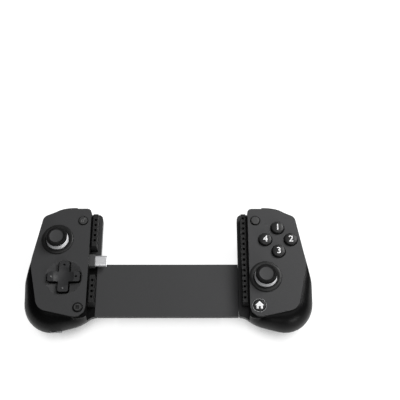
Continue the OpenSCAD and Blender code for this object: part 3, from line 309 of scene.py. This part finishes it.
bridge_charcoal = moulded("bridge_charcoal", (0.056, 0.056, 0.057), 0.55, mottle=0.05, specular=0.15)
carrier_black = moulded("carrier_black", (0.03, 0.03, 0.03), 0.5, specular=0.25)
plain_steel = moulded("plain_steel", (0.5, 0.5, 0.51), 0.34, metallic=1.0, depth=0.01)
cover_edge = 0.05
sled_edge = 0.3
sheet_edge = 0.1
dress("bridge_rear_cover", shell_black, cover_edge)
dress("bridge_sled", carrier_black, sled_edge)
dress("bridge_front_cover", bridge_charcoal, cover_edge)
dress("spring_anchor", plain_steel, sheet_edge)


# Return springs: two long close-wound coils of steel wire inside the sled.
# They hook on the anchor plate and on the sled's far end, and pull the halves together.

def piece_of(name, bm, material):
    """A new piece from a bmesh, with its material and soft shading."""
    bmesh.ops.recalc_face_normals(bm, faces=bm.faces)
    mesh = bpy.data.meshes.new(name)
    bm.to_mesh(mesh)
    bm.free()
    mesh.materials.append(material)
    mesh.shade_smooth()
    obj = bpy.data.objects.new(name, mesh)
    bpy.context.scene.collection.objects.link(obj)
    return obj


def tube_between(bm, rings):
    """Skins a row of rings of points with faces and closes both ends."""
    made = [[bm.verts.new(point) for point in ring] for ring in rings]
    count = len(made[0])
    for near, far in zip(made, made[1:]):
        for i in range(count):
            j = (i + 1) % count
            bm.faces.new((near[i], near[j], far[j], far[i]))
    bm.faces.new(made[0])
    bm.faces.new(reversed(made[-1]))


def coil_rings(start, end, radius, wire, pitch, around=12, sides=5):
    """Rings of points of a wire wound along the X axis from start to end, in metres."""
    steps = int((end.x - start.x - 2 * wire) / pitch * around)
    rings = []
    for k in range(steps + 1):
        turn = 2 * math.pi * k / around
        out = Vector((0, math.cos(turn), math.sin(turn)))
        middle = Vector((start.x + wire + pitch * k / around, start.y, start.z)) + out * (radius - wire)
        rings.append([
            middle + wire * (math.cos(a) * out + math.sin(a) * Vector((1, 0, 0)))
            for a in (2 * math.pi * s / sides for s in range(sides))
        ])
    return rings


spring_low, spring_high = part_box("bridge_springs")
spring_r = (spring_high.z - spring_low.z) / 2
spring_z = spring_low.z + spring_r
spring_wire = 0.26 * MM
spring_pitch = 0.64 * MM
coils = bmesh.new()
for row in (spring_low.y + spring_r, spring_high.y - spring_r):
    tube_between(coils, coil_rings(
        Vector((spring_low.x, row, spring_z)), Vector((spring_high.x, row, spring_z)),
        spring_r, spring_wire, spring_pitch,
    ))
springs = piece_of("return_springs", coils, plain_steel)
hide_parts("bridge_springs")
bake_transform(springs)


# Flex cable: an amber film with copper tracks that joins the two circuit boards.
# It lies in the sled in three layers with two folds, and a leg goes up to each board.

def tracked_film():
    """Amber film with copper tracks along it."""
    material = moulded("tracked_film", (0.4, 0.17, 0.03), 0.3, mottle=0.05, depth=0.01)
    tree = material.node_tree
    place = tree.nodes.new("ShaderNodeTexCoord")
    tracks = node_with(tree, "ShaderNodeTexWave", {"Scale": 400.0}, bands_direction="Y")
    blend = node_with(tree, "ShaderNodeMix", {"B": (0.62, 0.26, 0.09, 1)}, data_type="RGBA")
    shader = tree.nodes["Principled BSDF"]
    tree.links.new(place.outputs["Object"], tracks.inputs["Vector"])
    tree.links.new(tracks.outputs["Fac"], blend.inputs["Factor"])
    tree.links.new(tree.nodes["grain"].outputs["Color"], blend.inputs["A"])
    tree.links.new(blend.outputs["Result"], shader.inputs["Base Color"])
    return material


def fold(middle, radius, turns, steps=10):
    """Points of a half turn in the XZ plane, from below to above, bulging to +X or -X."""
    return [
        middle + radius * Vector((turns * math.sin(a), 0, -math.cos(a)))
        for a in (math.pi * k / steps for k in range(steps + 1))
    ]


cable_low, cable_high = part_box("flex_cable")
sled_low, sled_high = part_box("bridge_sled")
film_t = 0.3 * MM
sled_wall = 1.2 * MM
fold_in = 16 * MM
spare = 30 * MM
travel = next(j for j in frame["joints"] if j["name"] == "bridge_slide")["range_m"][1]
right_fold_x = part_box("right_face_plate")[0].x - fold_in
left_fold_x = right_fold_x - travel / 2 - spare
layer = (sled_high.z - sled_low.z - 2 * sled_wall - 2 * film_t) / 2
floor_z = cable_low.z + film_t / 2
left_leg_x = cable_low.x + film_t / 2
right_leg_x = cable_high.x - film_t / 2
run_steps = 24
route = [Vector((left_leg_x, 0, cable_high.z)), Vector((left_leg_x, 0, floor_z + layer / 2))]
route += [
    Vector((left_leg_x + (right_fold_x - left_leg_x) * k / run_steps, 0, floor_z))
    for k in range(run_steps)
]
route += fold(Vector((right_fold_x, 0, floor_z + layer / 2)), layer / 2, 1)
route += fold(Vector((left_fold_x, 0, floor_z + 1.5 * layer)), layer / 2, -1)
route += [
    Vector((left_fold_x + (right_leg_x - left_fold_x) * k / run_steps, 0, floor_z + 2 * layer))
    for k in range(1, run_steps + 1)
]
route += [Vector((right_leg_x, 0, cable_high.z))]
film_rings = []
for before, here, after in zip([route[0]] + route[:-1], route, route[1:] + [route[-1]]):
    along = (after - before).normalized()
    up = Vector((-along.z, 0, along.x)) * film_t / 2
    film_rings.append([
        Vector((here.x, edge, here.z)) + face * up
        for edge, face in (
            (cable_low.y, -1), (cable_high.y, -1), (cable_high.y, 1), (cable_low.y, 1))
    ])
film = bmesh.new()
tube_between(film, film_rings)
cable = piece_of("flat_cable", film, tracked_film())
finish_edges(cable)
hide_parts("flex_cable")
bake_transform(cable)


# Circuit boards and button mats: what lies between each face plate and its shell.
# Green lacquered glass-fibre boards with copper tracks, and grey silicone mats with domes.

def tracked_board():
    """Green lacquer over square copper tracks."""
    material = moulded("tracked_board", (0.012, 0.085, 0.04), 0.36, mottle=0.2)
    tree = material.node_tree
    link = tree.links.new
    place = tree.nodes.new("ShaderNodeTexCoord")
    cells = node_with(tree, "ShaderNodeTexVoronoi", {"Scale": 140.0}, distance="CHEBYCHEV")
    waves = node_with(tree, "ShaderNodeMath", {1: 40.0}, operation="MULTIPLY")
    wave = node_with(tree, "ShaderNodeMath", operation="SINE")
    lines = node_with(tree, "ShaderNodeMapRange", {"From Min": 0.2, "From Max": 0.5, "To Max": 0.5})
    blend = node_with(tree, "ShaderNodeMix", {"B": (0.03, 0.2, 0.08, 1)}, data_type="RGBA")
    link(place.outputs["Object"], cells.inputs["Vector"])
    link(cells.outputs["Distance"], waves.inputs[0])
    link(waves.outputs[0], wave.inputs[0])
    link(wave.outputs[0], lines.inputs["Value"])
    link(lines.outputs["Result"], blend.inputs["Factor"])
    link(tree.nodes["grain"].outputs["Color"], blend.inputs["A"])
    link(blend.outputs["Result"], tree.nodes["Principled BSDF"].inputs["Base Color"])
    return material


board_green = tracked_board()
mat_silicone = moulded("mat_silicone", (0.32, 0.32, 0.31), 0.6)
for side in SIDES:
    dress(side + "_circuit_board", board_green)
    dress(side + "_shoulder_board", board_green)
    dress(side + "_button_mat", mat_silicone)


# Stick units: a pressed steel housing under each stick, with a yoke, a rocker and a shaft in it.
# The yoke and rocker are slippery black plastic and turn about two crossed pins.

gimbal_plastic = moulded("gimbal_plastic", (0.02, 0.02, 0.021), 0.45)
gimbal_edge = 0.1
for side in SIDES:
    dress(side + "_stick_housing", plain_steel, sheet_edge)
    for piece in ("yoke", "rocker", "shaft"):
        dress(side + "_stick_" + piece, gimbal_plastic, gimbal_edge)


# Plug and charge socket: a drawn steel tongue on a small block that tips on a pin,
# and a drawn steel socket at the bottom of the left pod.

drawn_steel = moulded("drawn_steel", (0.93, 0.93, 0.94), 0.45, mottle=0.04, polish=0.04, depth=0.004,
                      metallic=1.0)
carrier_grey = moulded("carrier_grey", (0.07, 0.07, 0.07), 0.5, specular=0.25)
carrier_edge = 0.4
plug_edge = 0.12
dress("plug_bracket", plain_steel, sheet_edge)
dress("plug_pin", plain_steel)
dress("plug_carrier", carrier_grey, carrier_edge)
dress("plug_shell", drawn_steel, plug_edge)
dress("charge_port", plain_steel, sheet_edge)


# Bumpers and triggers: black half-gloss shoulder keys on blackened steel pins.
# Moulded in one piece with their barrels, with a soft edge all round.

dark_steel = moulded("dark_steel", (0.03, 0.03, 0.032), 0.4, depth=0.01, metallic=1.0)
shoulder_black = moulded("shoulder_black", (0.006, 0.006, 0.006), 0.36, specular=0.22)
bumper_edge = 0.5
trigger_edge = 0.6
for side in SIDES:
    dress(side + "_shoulder_pins", dark_steel)
    dress(side + "_bumper", shoulder_black, bumper_edge)
    dress(side + "_trigger", shoulder_black, trigger_edge)


# End pads: soft strips with a row of square pockets that give them grip.
# Black rubber, pressed against the inner walls of the halves.

pad_rubber = moulded("pad_rubber", (0.019, 0.019, 0.019), 0.7, grain=1500, depth=0.05, specular=0.2)
strip_edge = 0.2
dress("left_end_pads", pad_rubber, strip_edge)
dress("right_end_pad", pad_rubber, strip_edge)


# Face plates: the flat charcoal fronts of both halves, cut out for the sticks, the pad and the buttons.
# Matte paint over black plastic, with a softly broken edge and a shallow dish round the pad; the black on the
# walls of the cut-outs is partly painted shade.
# Steel screws through the rear shells hold the posts behind them.

def disc_mask_tree():
    """One inside a circle about a place in the XY plane and nought outside, with a soft edge."""
    tree, start, end = group_tree(
        "disc_mask", "ShaderNodeTree",
        [("Middle", "NodeSocketVector", (0, 0, 0)), ("Radius", "NodeSocketFloat", 0.004),
         ("Softness", "NodeSocketFloat", 0.0004)],
        [("Mask", "NodeSocketFloat"), ("Angle", "NodeSocketFloat")],
    )
    link = tree.links.new
    place = tree.nodes.new("ShaderNodeTexCoord")
    away = node_with(tree, "ShaderNodeVectorMath", operation="SUBTRACT")
    flat = node_with(tree, "ShaderNodeVectorMath", {1: (1, 1, 0)}, operation="MULTIPLY")
    reach = node_with(tree, "ShaderNodeVectorMath", operation="LENGTH")
    outer = node_with(tree, "ShaderNodeMath", operation="ADD")
    edge = node_with(tree, "ShaderNodeMapRange", {"To Min": 1.0, "To Max": 0.0})
    parts = tree.nodes.new("ShaderNodeSeparateXYZ")
    angle = node_with(tree, "ShaderNodeMath", operation="ARCTAN2")
    link(place.outputs["Object"], away.inputs[0])
    link(start.outputs["Middle"], away.inputs[1])
    link(away.outputs["Vector"], flat.inputs[0])
    link(flat.outputs["Vector"], reach.inputs[0])
    link(start.outputs["Radius"], outer.inputs[0])
    link(start.outputs["Softness"], outer.inputs[1])
    link(reach.outputs["Value"], edge.inputs["Value"])
    link(start.outputs["Radius"], edge.inputs["From Min"])
    link(outer.outputs[0], edge.inputs["From Max"])
    link(edge.outputs["Result"], end.inputs["Mask"])
    link(away.outputs["Vector"], parts.inputs["Vector"])
    link(parts.outputs["Y"], angle.inputs[0])
    link(parts.outputs["X"], angle.inputs[1])
    link(angle.outputs[0], end.inputs["Angle"])
    return tree


disc_mask = disc_mask_tree()


def plate_finish(side):
    """Charcoal paint over black plastic, whose near-black walls are partly painted shade in the gaps."""
    material = moulded(side + "_plate_charcoal", (0.053, 0.053, 0.054), 0.56, mottle=0.06, specular=0.15)
    paint_top(material, material.node_tree.nodes["grain"].outputs["Color"])
    return material


def disc_about(tree, around, radius, softness):
    """A disc mask about a piece's middle, sizes in millimetres."""
    low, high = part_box(around)
    return node_with(tree, "ShaderNodeGroup", {
        "Middle": (low + high) / 2, "Radius": radius * MM, "Softness": softness * MM,
    }, node_tree=disc_mask)


def sink_dish(material, around, radius, depth):
    """Deepens the shading of a shallow round dish about a piece's middle, sizes in millimetres."""
    tree = material.node_tree
    cone = disc_about(tree, around, 0, radius)
    outward = node_with(tree, "ShaderNodeMath", {0: 1.0}, operation="SUBTRACT")
    bowl = node_with(tree, "ShaderNodeMath", {1: 2.0}, operation="POWER")
    dish = node_with(tree, "ShaderNodeBump", {"Strength": 1.0, "Distance": depth * MM})
    tree.links.new(cone.outputs["Mask"], outward.inputs[1])
    tree.links.new(outward.outputs[0], bowl.inputs[0])
    tree.links.new(bowl.outputs[0], dish.inputs["Height"])
    tree.links.new(dish.outputs["Normal"], tree.nodes["relief"].inputs["Normal"])


plates = {side: plate_finish(side) for side in SIDES}
dish_r = 12.6
dish_depth = 1.8
plate_edge = 0.25
sink_dish(plates["left"], "direction_pad", dish_r, dish_depth)
for side in SIDES:
    dress(side + "_face_plate", plates[side], plate_edge)
    dress(side + "_screws", plain_steel, sheet_edge)


# Direction pad: one rocking cross in the same charcoal as the plate, on a steel ball.
# Half-gloss plastic with a hollow middle and a dimple on each arm; two dimples carry dots of painted shade
# and two dots of painted highlight.

pad_charcoal = moulded("pad_charcoal", (0.036, 0.036, 0.037), 0.42, mottle=0.06, specular=0.2)
pad_grain = pad_charcoal.node_tree.nodes["grain"].outputs["Color"]
hollow_r = 7.3
hollow_depth = 1.1
pad_shade_depth = 0.6 * MM
arm_edge = 0.35
sink_dish(pad_charcoal, "direction_pad", hollow_r, hollow_depth)
# Below this depth under its top the pad is near-black: painted shade that outlines the arms.
paint_top(pad_charcoal, pad_grain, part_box("direction_pad")[1].z - pad_shade_depth)
dress("direction_pad", pad_charcoal, arm_edge)
dress("pad_pivot", plain_steel)

same_point = 0.02 * MM
straight_on = math.radians(0.5)
sliver = 0.005 * MM
ink_mesh = 0.5 * MM
ink_lift = 0.025 * MM
ink_drop = 5 * MM


def tidy_flat(bm):
    """Joins the points of a flat bmesh and cuts it into triangles anew."""
    bmesh.ops.remove_doubles(bm, verts=bm.verts, dist=same_point)
    bmesh.ops.dissolve_limit(bm, angle_limit=straight_on, verts=bm.verts, edges=bm.edges)
    bmesh.ops.triangulate(bm, faces=bm.faces)
    bmesh.ops.dissolve_degenerate(bm, edges=bm.edges, dist=sliver)


def printed(name, bm, key, ink, body):
    """Lays a flat bmesh on the middle of a key's top as a thin layer of ink that rides with a body."""
    low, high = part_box(key)
    bmesh.ops.translate(bm, verts=bm.verts, vec=((low.x + high.x) / 2, (low.y + high.y) / 2, 0))
    tidy_flat(bm)
    for _ in range(3):
        long_edges = [e for e in bm.edges if e.calc_length() > ink_mesh]
        bmesh.ops.subdivide_edges(bm, edges=long_edges, cuts=1)
        bmesh.ops.triangulate(bm, faces=bm.faces)
    solid = nodes[key].data
    top = BVHTree.FromPolygons([v.co for v in solid.vertices], [p.vertices for p in solid.polygons])
    down = Vector((0, 0, -1))
    for v in bm.verts:
        above = Vector((v.co.x, v.co.y, high.z + ink_drop))
        v.co.z = top.ray_cast(above, down)[0].z + ink_lift
    obj = piece_of(name, bm, ink)
    layer_of_ink = obj.modifiers.new("ink", "SOLIDIFY")
    layer_of_ink.thickness = 2 * ink_lift
    layer_of_ink.offset = -1
    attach(obj, body)


dark_ink_and_shade = moulded("dark_ink_and_shade", (0.003, 0.003, 0.003), 0.6, mottle=0.04, depth=0.004, specular=0.05)
highlight_ink = moulded("highlight_ink", (0.2, 0.2, 0.2), 0.5, mottle=0.04, depth=0.004)
dimple_at = Vector((8.4 * MM, 0, 0))
dot_sides = 16
# The dark dots are painted shade and the pale dots painted highlight in the dimples.
for name, ink, dot_r, turns in (
    ("shadow_dots", dark_ink_and_shade, 0.85, (0, 1)),
    ("highlight_dots", highlight_ink, 0.6, (2, 3)),
):
    dots = bmesh.new()
    for turn in turns:
        middle = Matrix.Rotation(turn * math.pi / 2, 4, "Z") @ dimple_at
        bmesh.ops.create_circle(dots, cap_ends=True, radius=dot_r * MM, segments=dot_sides,
                                matrix=Matrix.Translation(middle))
    printed(name, dots, "direction_pad", ink, "pad_cross")


# Face buttons: four domed black keys, each with a plain figure printed in white.
# Half-gloss plastic; the print is a thin layer of white ink on the dome.

def embolden(bm, width, sharpest=0.4):
    """Moves the outline of a flat bmesh outward by a width in metres, and less at very sharp corners."""
    shifts = {}
    for edge in (e for e in bm.edges if e.is_boundary):
        a, b = (v.co for v in edge.verts)
        out = (b - a).cross(Vector((0, 0, 1))).normalized()
        if out.dot(edge.link_faces[0].calc_center_median() - a) > 0:
            out.negate()
        for v in edge.verts:
            shifts.setdefault(v, []).append(out)
    for v, outs in shifts.items():
        mean = sum(outs, Vector()) / len(outs)
        v.co += width * mean / max(mean.length_squared, sharpest)


def flat_figure(figure, height, bold):
    """A bmesh of one figure in the XY plane, centred, of a height and boldness in millimetres."""
    letters = bpy.data.curves.new("figure", "FONT")
    letters.body = figure
    letters.size = 1.4 * height * MM
    letters.resolution_u = 6
    holder = bpy.data.objects.new("figure", letters)
    bpy.context.scene.collection.objects.link(holder)
    drawn = holder.evaluated_get(bpy.context.evaluated_depsgraph_get())
    bm = bmesh.new()
    bm.from_mesh(drawn.to_mesh())
    drawn.to_mesh_clear()
    bpy.data.objects.remove(holder)
    bpy.data.curves.remove(letters)
    xs = [v.co.x for v in bm.verts]
    ys = [v.co.y for v in bm.verts]
    middle = Vector(((min(xs) + max(xs)) / 2, (min(ys) + max(ys)) / 2, 0))
    scale = height * MM / (max(ys) - min(ys))
    bmesh.ops.translate(bm, verts=bm.verts, vec=-middle)
    bmesh.ops.scale(bm, verts=bm.verts, vec=(scale, scale, 1))
    tidy_flat(bm)
    embolden(bm, bold * MM)
    return bm


figure_h = 4.5
figure_bold = 0.1
key_black = moulded("key_black", (0.016, 0.016, 0.016), 0.38, specular=0.24)
white_ink = moulded("white_ink", (0.86, 0.86, 0.86), 0.5, mottle=0.04, depth=0.004)
for figure, place in enumerate(("upper", "right", "lower", "left"), 1):
    key = "face_button_" + place
    dress(key, key_black, angle=40)
    outline = flat_figure(str(figure), figure_h, figure_bold)
    printed("figure_" + place, outline, key, white_ink, key)


# Small buttons: low round charcoal keys in the corners of the plates.
# Painted to short of their rims, whose black is painted shade for the gap round each key; the two on the left
# carry printed marks, two squares and three bars.

square_corners = ((-1, -1), (1, -1), (1, 1), (-1, 1))


def bar_outline(bm, x, y, half_w, half_h):
    """Adds a flat bar about a place, sizes in millimetres."""
    bm.faces.new([bm.verts.new(((x + half_w * i) * MM, (y + half_h * j) * MM, 0)) for i, j in square_corners])


def frame_outline(bm, x, y, half, line):
    """Adds a flat square frame with mitred corners about a place, sizes in millimetres."""
    outer, inner = [
        [bm.verts.new(((x + extent * i) * MM, (y + extent * j) * MM, 0)) for i, j in square_corners]
        for extent in (half, half - line)
    ]
    for k in range(len(square_corners)):
        bm.faces.new((outer[k - 1], outer[k], inner[k], inner[k - 1]))


paint_edge = 0.15


def small_finish(name, painted_r):
    """Charcoal paint on a black key out to a radius in millimetres, with black painted shade on the rim
    beyond it.
    """
    material = moulded(name + "_charcoal", (0.05, 0.05, 0.05), 0.48, specular=0.22)
    tree = material.node_tree
    disc = disc_about(tree, name, painted_r, paint_edge)
    rim = node_with(tree, "ShaderNodeMix", {"A": (0.004, 0.004, 0.004, 1)}, data_type="RGBA")
    tree.links.new(disc.outputs["Mask"], rim.inputs["Factor"])
    tree.links.new(tree.nodes["grain"].outputs["Color"], rim.inputs["B"])
    paint_top(material, rim.outputs["Result"])
    return material


grey_ink = moulded("grey_ink", (0.13, 0.13, 0.13), 0.5, mottle=0.04, depth=0.004)
for name, painted_r in (
    ("left_upper_button", 2.75),
    ("left_lower_button", 2.3),
    ("right_upper_button", 2.75),
):
    dress(name, small_finish(name, painted_r), angle=50)
squares = bmesh.new()
square_line = 0.35
frame_outline(squares, x=-0.45, y=-0.45, half=0.9, line=square_line)
frame_outline(squares, x=1.0, y=1.0, half=0.5, line=square_line)
printed("mark_squares", squares, "left_upper_button", grey_ink, "left_upper_button")
bars = bmesh.new()
bar_pitch = 0.85
for row in (-bar_pitch, 0, bar_pitch):
    bar_outline(bars, x=0, y=row, half_w=1.3, half_h=0.28)
printed("mark_bars", bars, "left_lower_button", dark_ink_and_shade, "left_lower_button")


# Home button: a round black key in a thin plated ring that is pressed into the right face plate.
# Half-gloss plastic like the face buttons, with a plain house printed on it in white ink.

plated = moulded("plated", (0.3, 0.3, 0.305), 0.35, mottle=0.04, polish=0.04, depth=0.004, metallic=1.0)
dress("home_button", key_black, angle=50)
ring_edge = 0.08
dress("home_ring", plated, ring_edge)
house = bmesh.new()
wall, eave, roof, base, sill, door, lintel = 2.1, 3.05, 2.95, -2.5, -0.1, 0.65, -0.75
house.faces.new([house.verts.new((x * MM, y * MM, 0)) for x, y in (
    (-wall, base), (-door, base), (-door, lintel), (door, lintel), (door, base), (wall, base),
    (wall, sill), (eave, sill), (0, roof), (-eave, sill), (-wall, sill),
)])
printed("mark_house", house, "home_button", white_ink, "home_button")


# Sticks: a raised collar, a bright domed skirt and a rubber cap on each stick.
# The skirt is plated plastic that turns with the cap about the stick's tilt point, under the collar.

lit_hollow_r = 4.5
lit_hollow_edge = 0.5
knurl_teeth = 90.0


def cap_rubber(name, node):
    """Soft black rubber with its middle painted grey as painted light on the dome, and a fine knurl round the
    rim.
    """
    material = moulded(name, (0.005, 0.005, 0.005), 0.6, grain=1500, depth=0.12, specular=0.15)
    tree = material.node_tree
    link = tree.links.new
    shader = tree.nodes["Principled BSDF"]
    hollow = disc_about(tree, node, lit_hollow_r, lit_hollow_edge)
    lit_hollow = node_with(tree, "ShaderNodeMix", {"B": (0.06, 0.06, 0.061, 1)}, data_type="RGBA")
    teeth = node_with(tree, "ShaderNodeMath", {1: knurl_teeth}, operation="MULTIPLY")
    tooth = node_with(tree, "ShaderNodeMath", operation="SINE")
    rim = node_with(tree, "ShaderNodeMath", {0: 1.0}, operation="SUBTRACT")
    knurl = node_with(tree, "ShaderNodeMath", operation="MULTIPLY")
    relief = node_with(tree, "ShaderNodeMath", operation="ADD")
    link(hollow.outputs["Mask"], lit_hollow.inputs["Factor"])
    link(tree.nodes["grain"].outputs["Color"], lit_hollow.inputs["A"])
    link(lit_hollow.outputs["Result"], shader.inputs["Base Color"])
    link(hollow.outputs["Angle"], teeth.inputs[0])
    link(teeth.outputs[0], tooth.inputs[0])
    link(hollow.outputs["Mask"], rim.inputs[1])
    link(tooth.outputs[0], knurl.inputs[0])
    link(rim.outputs[0], knurl.inputs[1])
    link(knurl.outputs[0], relief.inputs[0])
    link(tree.nodes["grain"].outputs["Height"], relief.inputs[1])
    link(relief.outputs[0], tree.nodes["relief"].inputs["Height"])
    return material


collar_black = moulded("collar_black", (0.016, 0.016, 0.016), 0.4, specular=0.22)
bright_skirt = moulded("bright_skirt", (0.68, 0.68, 0.69), 0.46, mottle=0.03, polish=0.04, depth=0.002,
                       specular=0.4)
for side in SIDES:
    dress(side + "_stick_collar", collar_black, angle=40)
    dress(side + "_stick_skirt", bright_skirt)
    dress(side + "_stick_cap", cap_rubber(side + "_cap_rubber", side + "_stick_cap"), angle=40)


# Camera, floor and studio light: a pale floor under one soft key from the upper right,
# a broad soft lamp overhead and a low one from the front right that lights the skirts.

def aim(obj, place, target, roll=0.0):
    """Puts a lamp or the camera at a place in millimetres, looking at a target."""
    start = Vector(place) * MM
    look = (Vector(target) * MM - start).to_track_quat("-Z", "Y").to_matrix().to_4x4()
    obj.matrix_world = Matrix.Translation(start) @ look @ Matrix.Rotation(roll, 4, "Z")
    bpy.context.scene.collection.objects.link(obj)


picture_side = 400
focal_pixels = 809.3
bridge_top = 3.2
eye_right = 18.4
eye_front = 216.49
eye_up = 512.83
eye_roll = math.radians(0.645)
look_side = math.radians(-0.704)
look_up = math.radians(62.76)
look_ahead = 500
face_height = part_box("left_face_plate")[1].z / MM
plate_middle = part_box("bridge_front_cover")[1].y / MM - bridge_top
eye = Vector((eye_right, plate_middle - eye_front, face_height + eye_up))
toward_eye = Vector((
    math.sin(look_side) * math.cos(look_up),
    -math.cos(look_side) * math.cos(look_up),
    math.sin(look_up),
))
lens = bpy.data.cameras.new("camera")
lens.sensor_width = 36
lens.lens = focal_pixels / picture_side * lens.sensor_width
lens.clip_start = 0.01
camera = bpy.data.objects.new("camera", lens)
aim(camera, eye, eye - look_ahead * toward_eye, eye_roll)
bpy.context.scene.camera = camera


def softbox(name, place, width, height, power, target=(0, 0, 20)):
    """A square-cornered soft lamp, sizes in millimetres and power in watts."""
    data = bpy.data.lights.new(name, "AREA")
    data.shape = "RECTANGLE"
    data.size = width * MM
    data.size_y = height * MM
    data.energy = power
    aim(bpy.data.objects.new(name, data), place, target)


softbox("key", (390, 310, 480), width=300, height=300, power=3.8)
softbox("overhead", (150, -150, 1300), width=900, height=900, power=4.6)
softbox("front_right", (650, -900, 380), width=500, height=300, power=4)

world = bpy.data.worlds.new("studio")
bpy.context.scene.world = world
world.use_nodes = True
sky = world.node_tree.nodes["Background"]
sky.inputs["Color"].default_value = (0.95, 0.97, 1, 1)
sky.inputs["Strength"].default_value = 0.1
painted_shadow_reach = 20 * MM


def pale_floor():
    """A pale floor that shows as white, with real shadow in its diffuse part and painted shadow that dims its
    glow where things hide it.
    """
    material = bpy.data.materials.new("pale_floor")
    material.use_nodes = True
    tree = material.node_tree
    tree.nodes.clear()
    link = tree.links.new
    end = tree.nodes.new("ShaderNodeOutputMaterial")
    path = tree.nodes.new("ShaderNodeLightPath")
    seen = node_with(tree, "ShaderNodeMath", operation="MAXIMUM")
    seen_all = node_with(tree, "ShaderNodeMath", operation="MAXIMUM")
    link(path.outputs["Is Camera Ray"], seen.inputs[0])
    link(path.outputs["Is Glossy Ray"], seen.inputs[1])
    link(seen.outputs[0], seen_all.inputs[0])
    link(path.outputs["Is Transmission Ray"], seen_all.inputs[1])
    paint = node_with(tree, "ShaderNodeBsdfDiffuse", {"Color": (0.75, 0.75, 0.75, 1)})
    shaded = node_with(tree, "ShaderNodeBsdfDiffuse", {"Color": (0.3, 0.3, 0.3, 1)})
    glow = node_with(tree, "ShaderNodeEmission", {"Color": (1, 1, 1, 1)})
    # Painted shadow: the glow dims where the object hides the floor from open sky within a short reach.
    painted_shadow = node_with(tree, "ShaderNodeAmbientOcclusion", {"Distance": painted_shadow_reach})
    strength = node_with(tree, "ShaderNodeMapRange",
                         {"From Min": 0.4, "From Max": 0.7, "To Min": 0.02, "To Max": 0.92})
    link(painted_shadow.outputs["AO"], strength.inputs["Value"])
    link(strength.outputs["Result"], glow.inputs["Strength"])
    bright = tree.nodes.new("ShaderNodeAddShader")
    link(shaded.outputs[0], bright.inputs[0])
    link(glow.outputs[0], bright.inputs[1])
    pick = tree.nodes.new("ShaderNodeMixShader")
    link(seen_all.outputs[0], pick.inputs[0])
    link(paint.outputs[0], pick.inputs[1])
    link(bright.outputs[0], pick.inputs[2])
    link(pick.outputs[0], end.inputs["Surface"])
    return material


floor_half = 40.0
corners = [(floor_half * i, floor_half * j, 0) for i, j in square_corners]
floor_mesh = bpy.data.meshes.new("floor")
floor_mesh.from_pydata(corners, [], [(0, 1, 2, 3)])
floor_mesh.materials.append(pale_floor())
floor = bpy.data.objects.new("floor", floor_mesh)
bpy.context.scene.collection.objects.link(floor)

bpy.context.scene.view_settings.view_transform = "Standard"
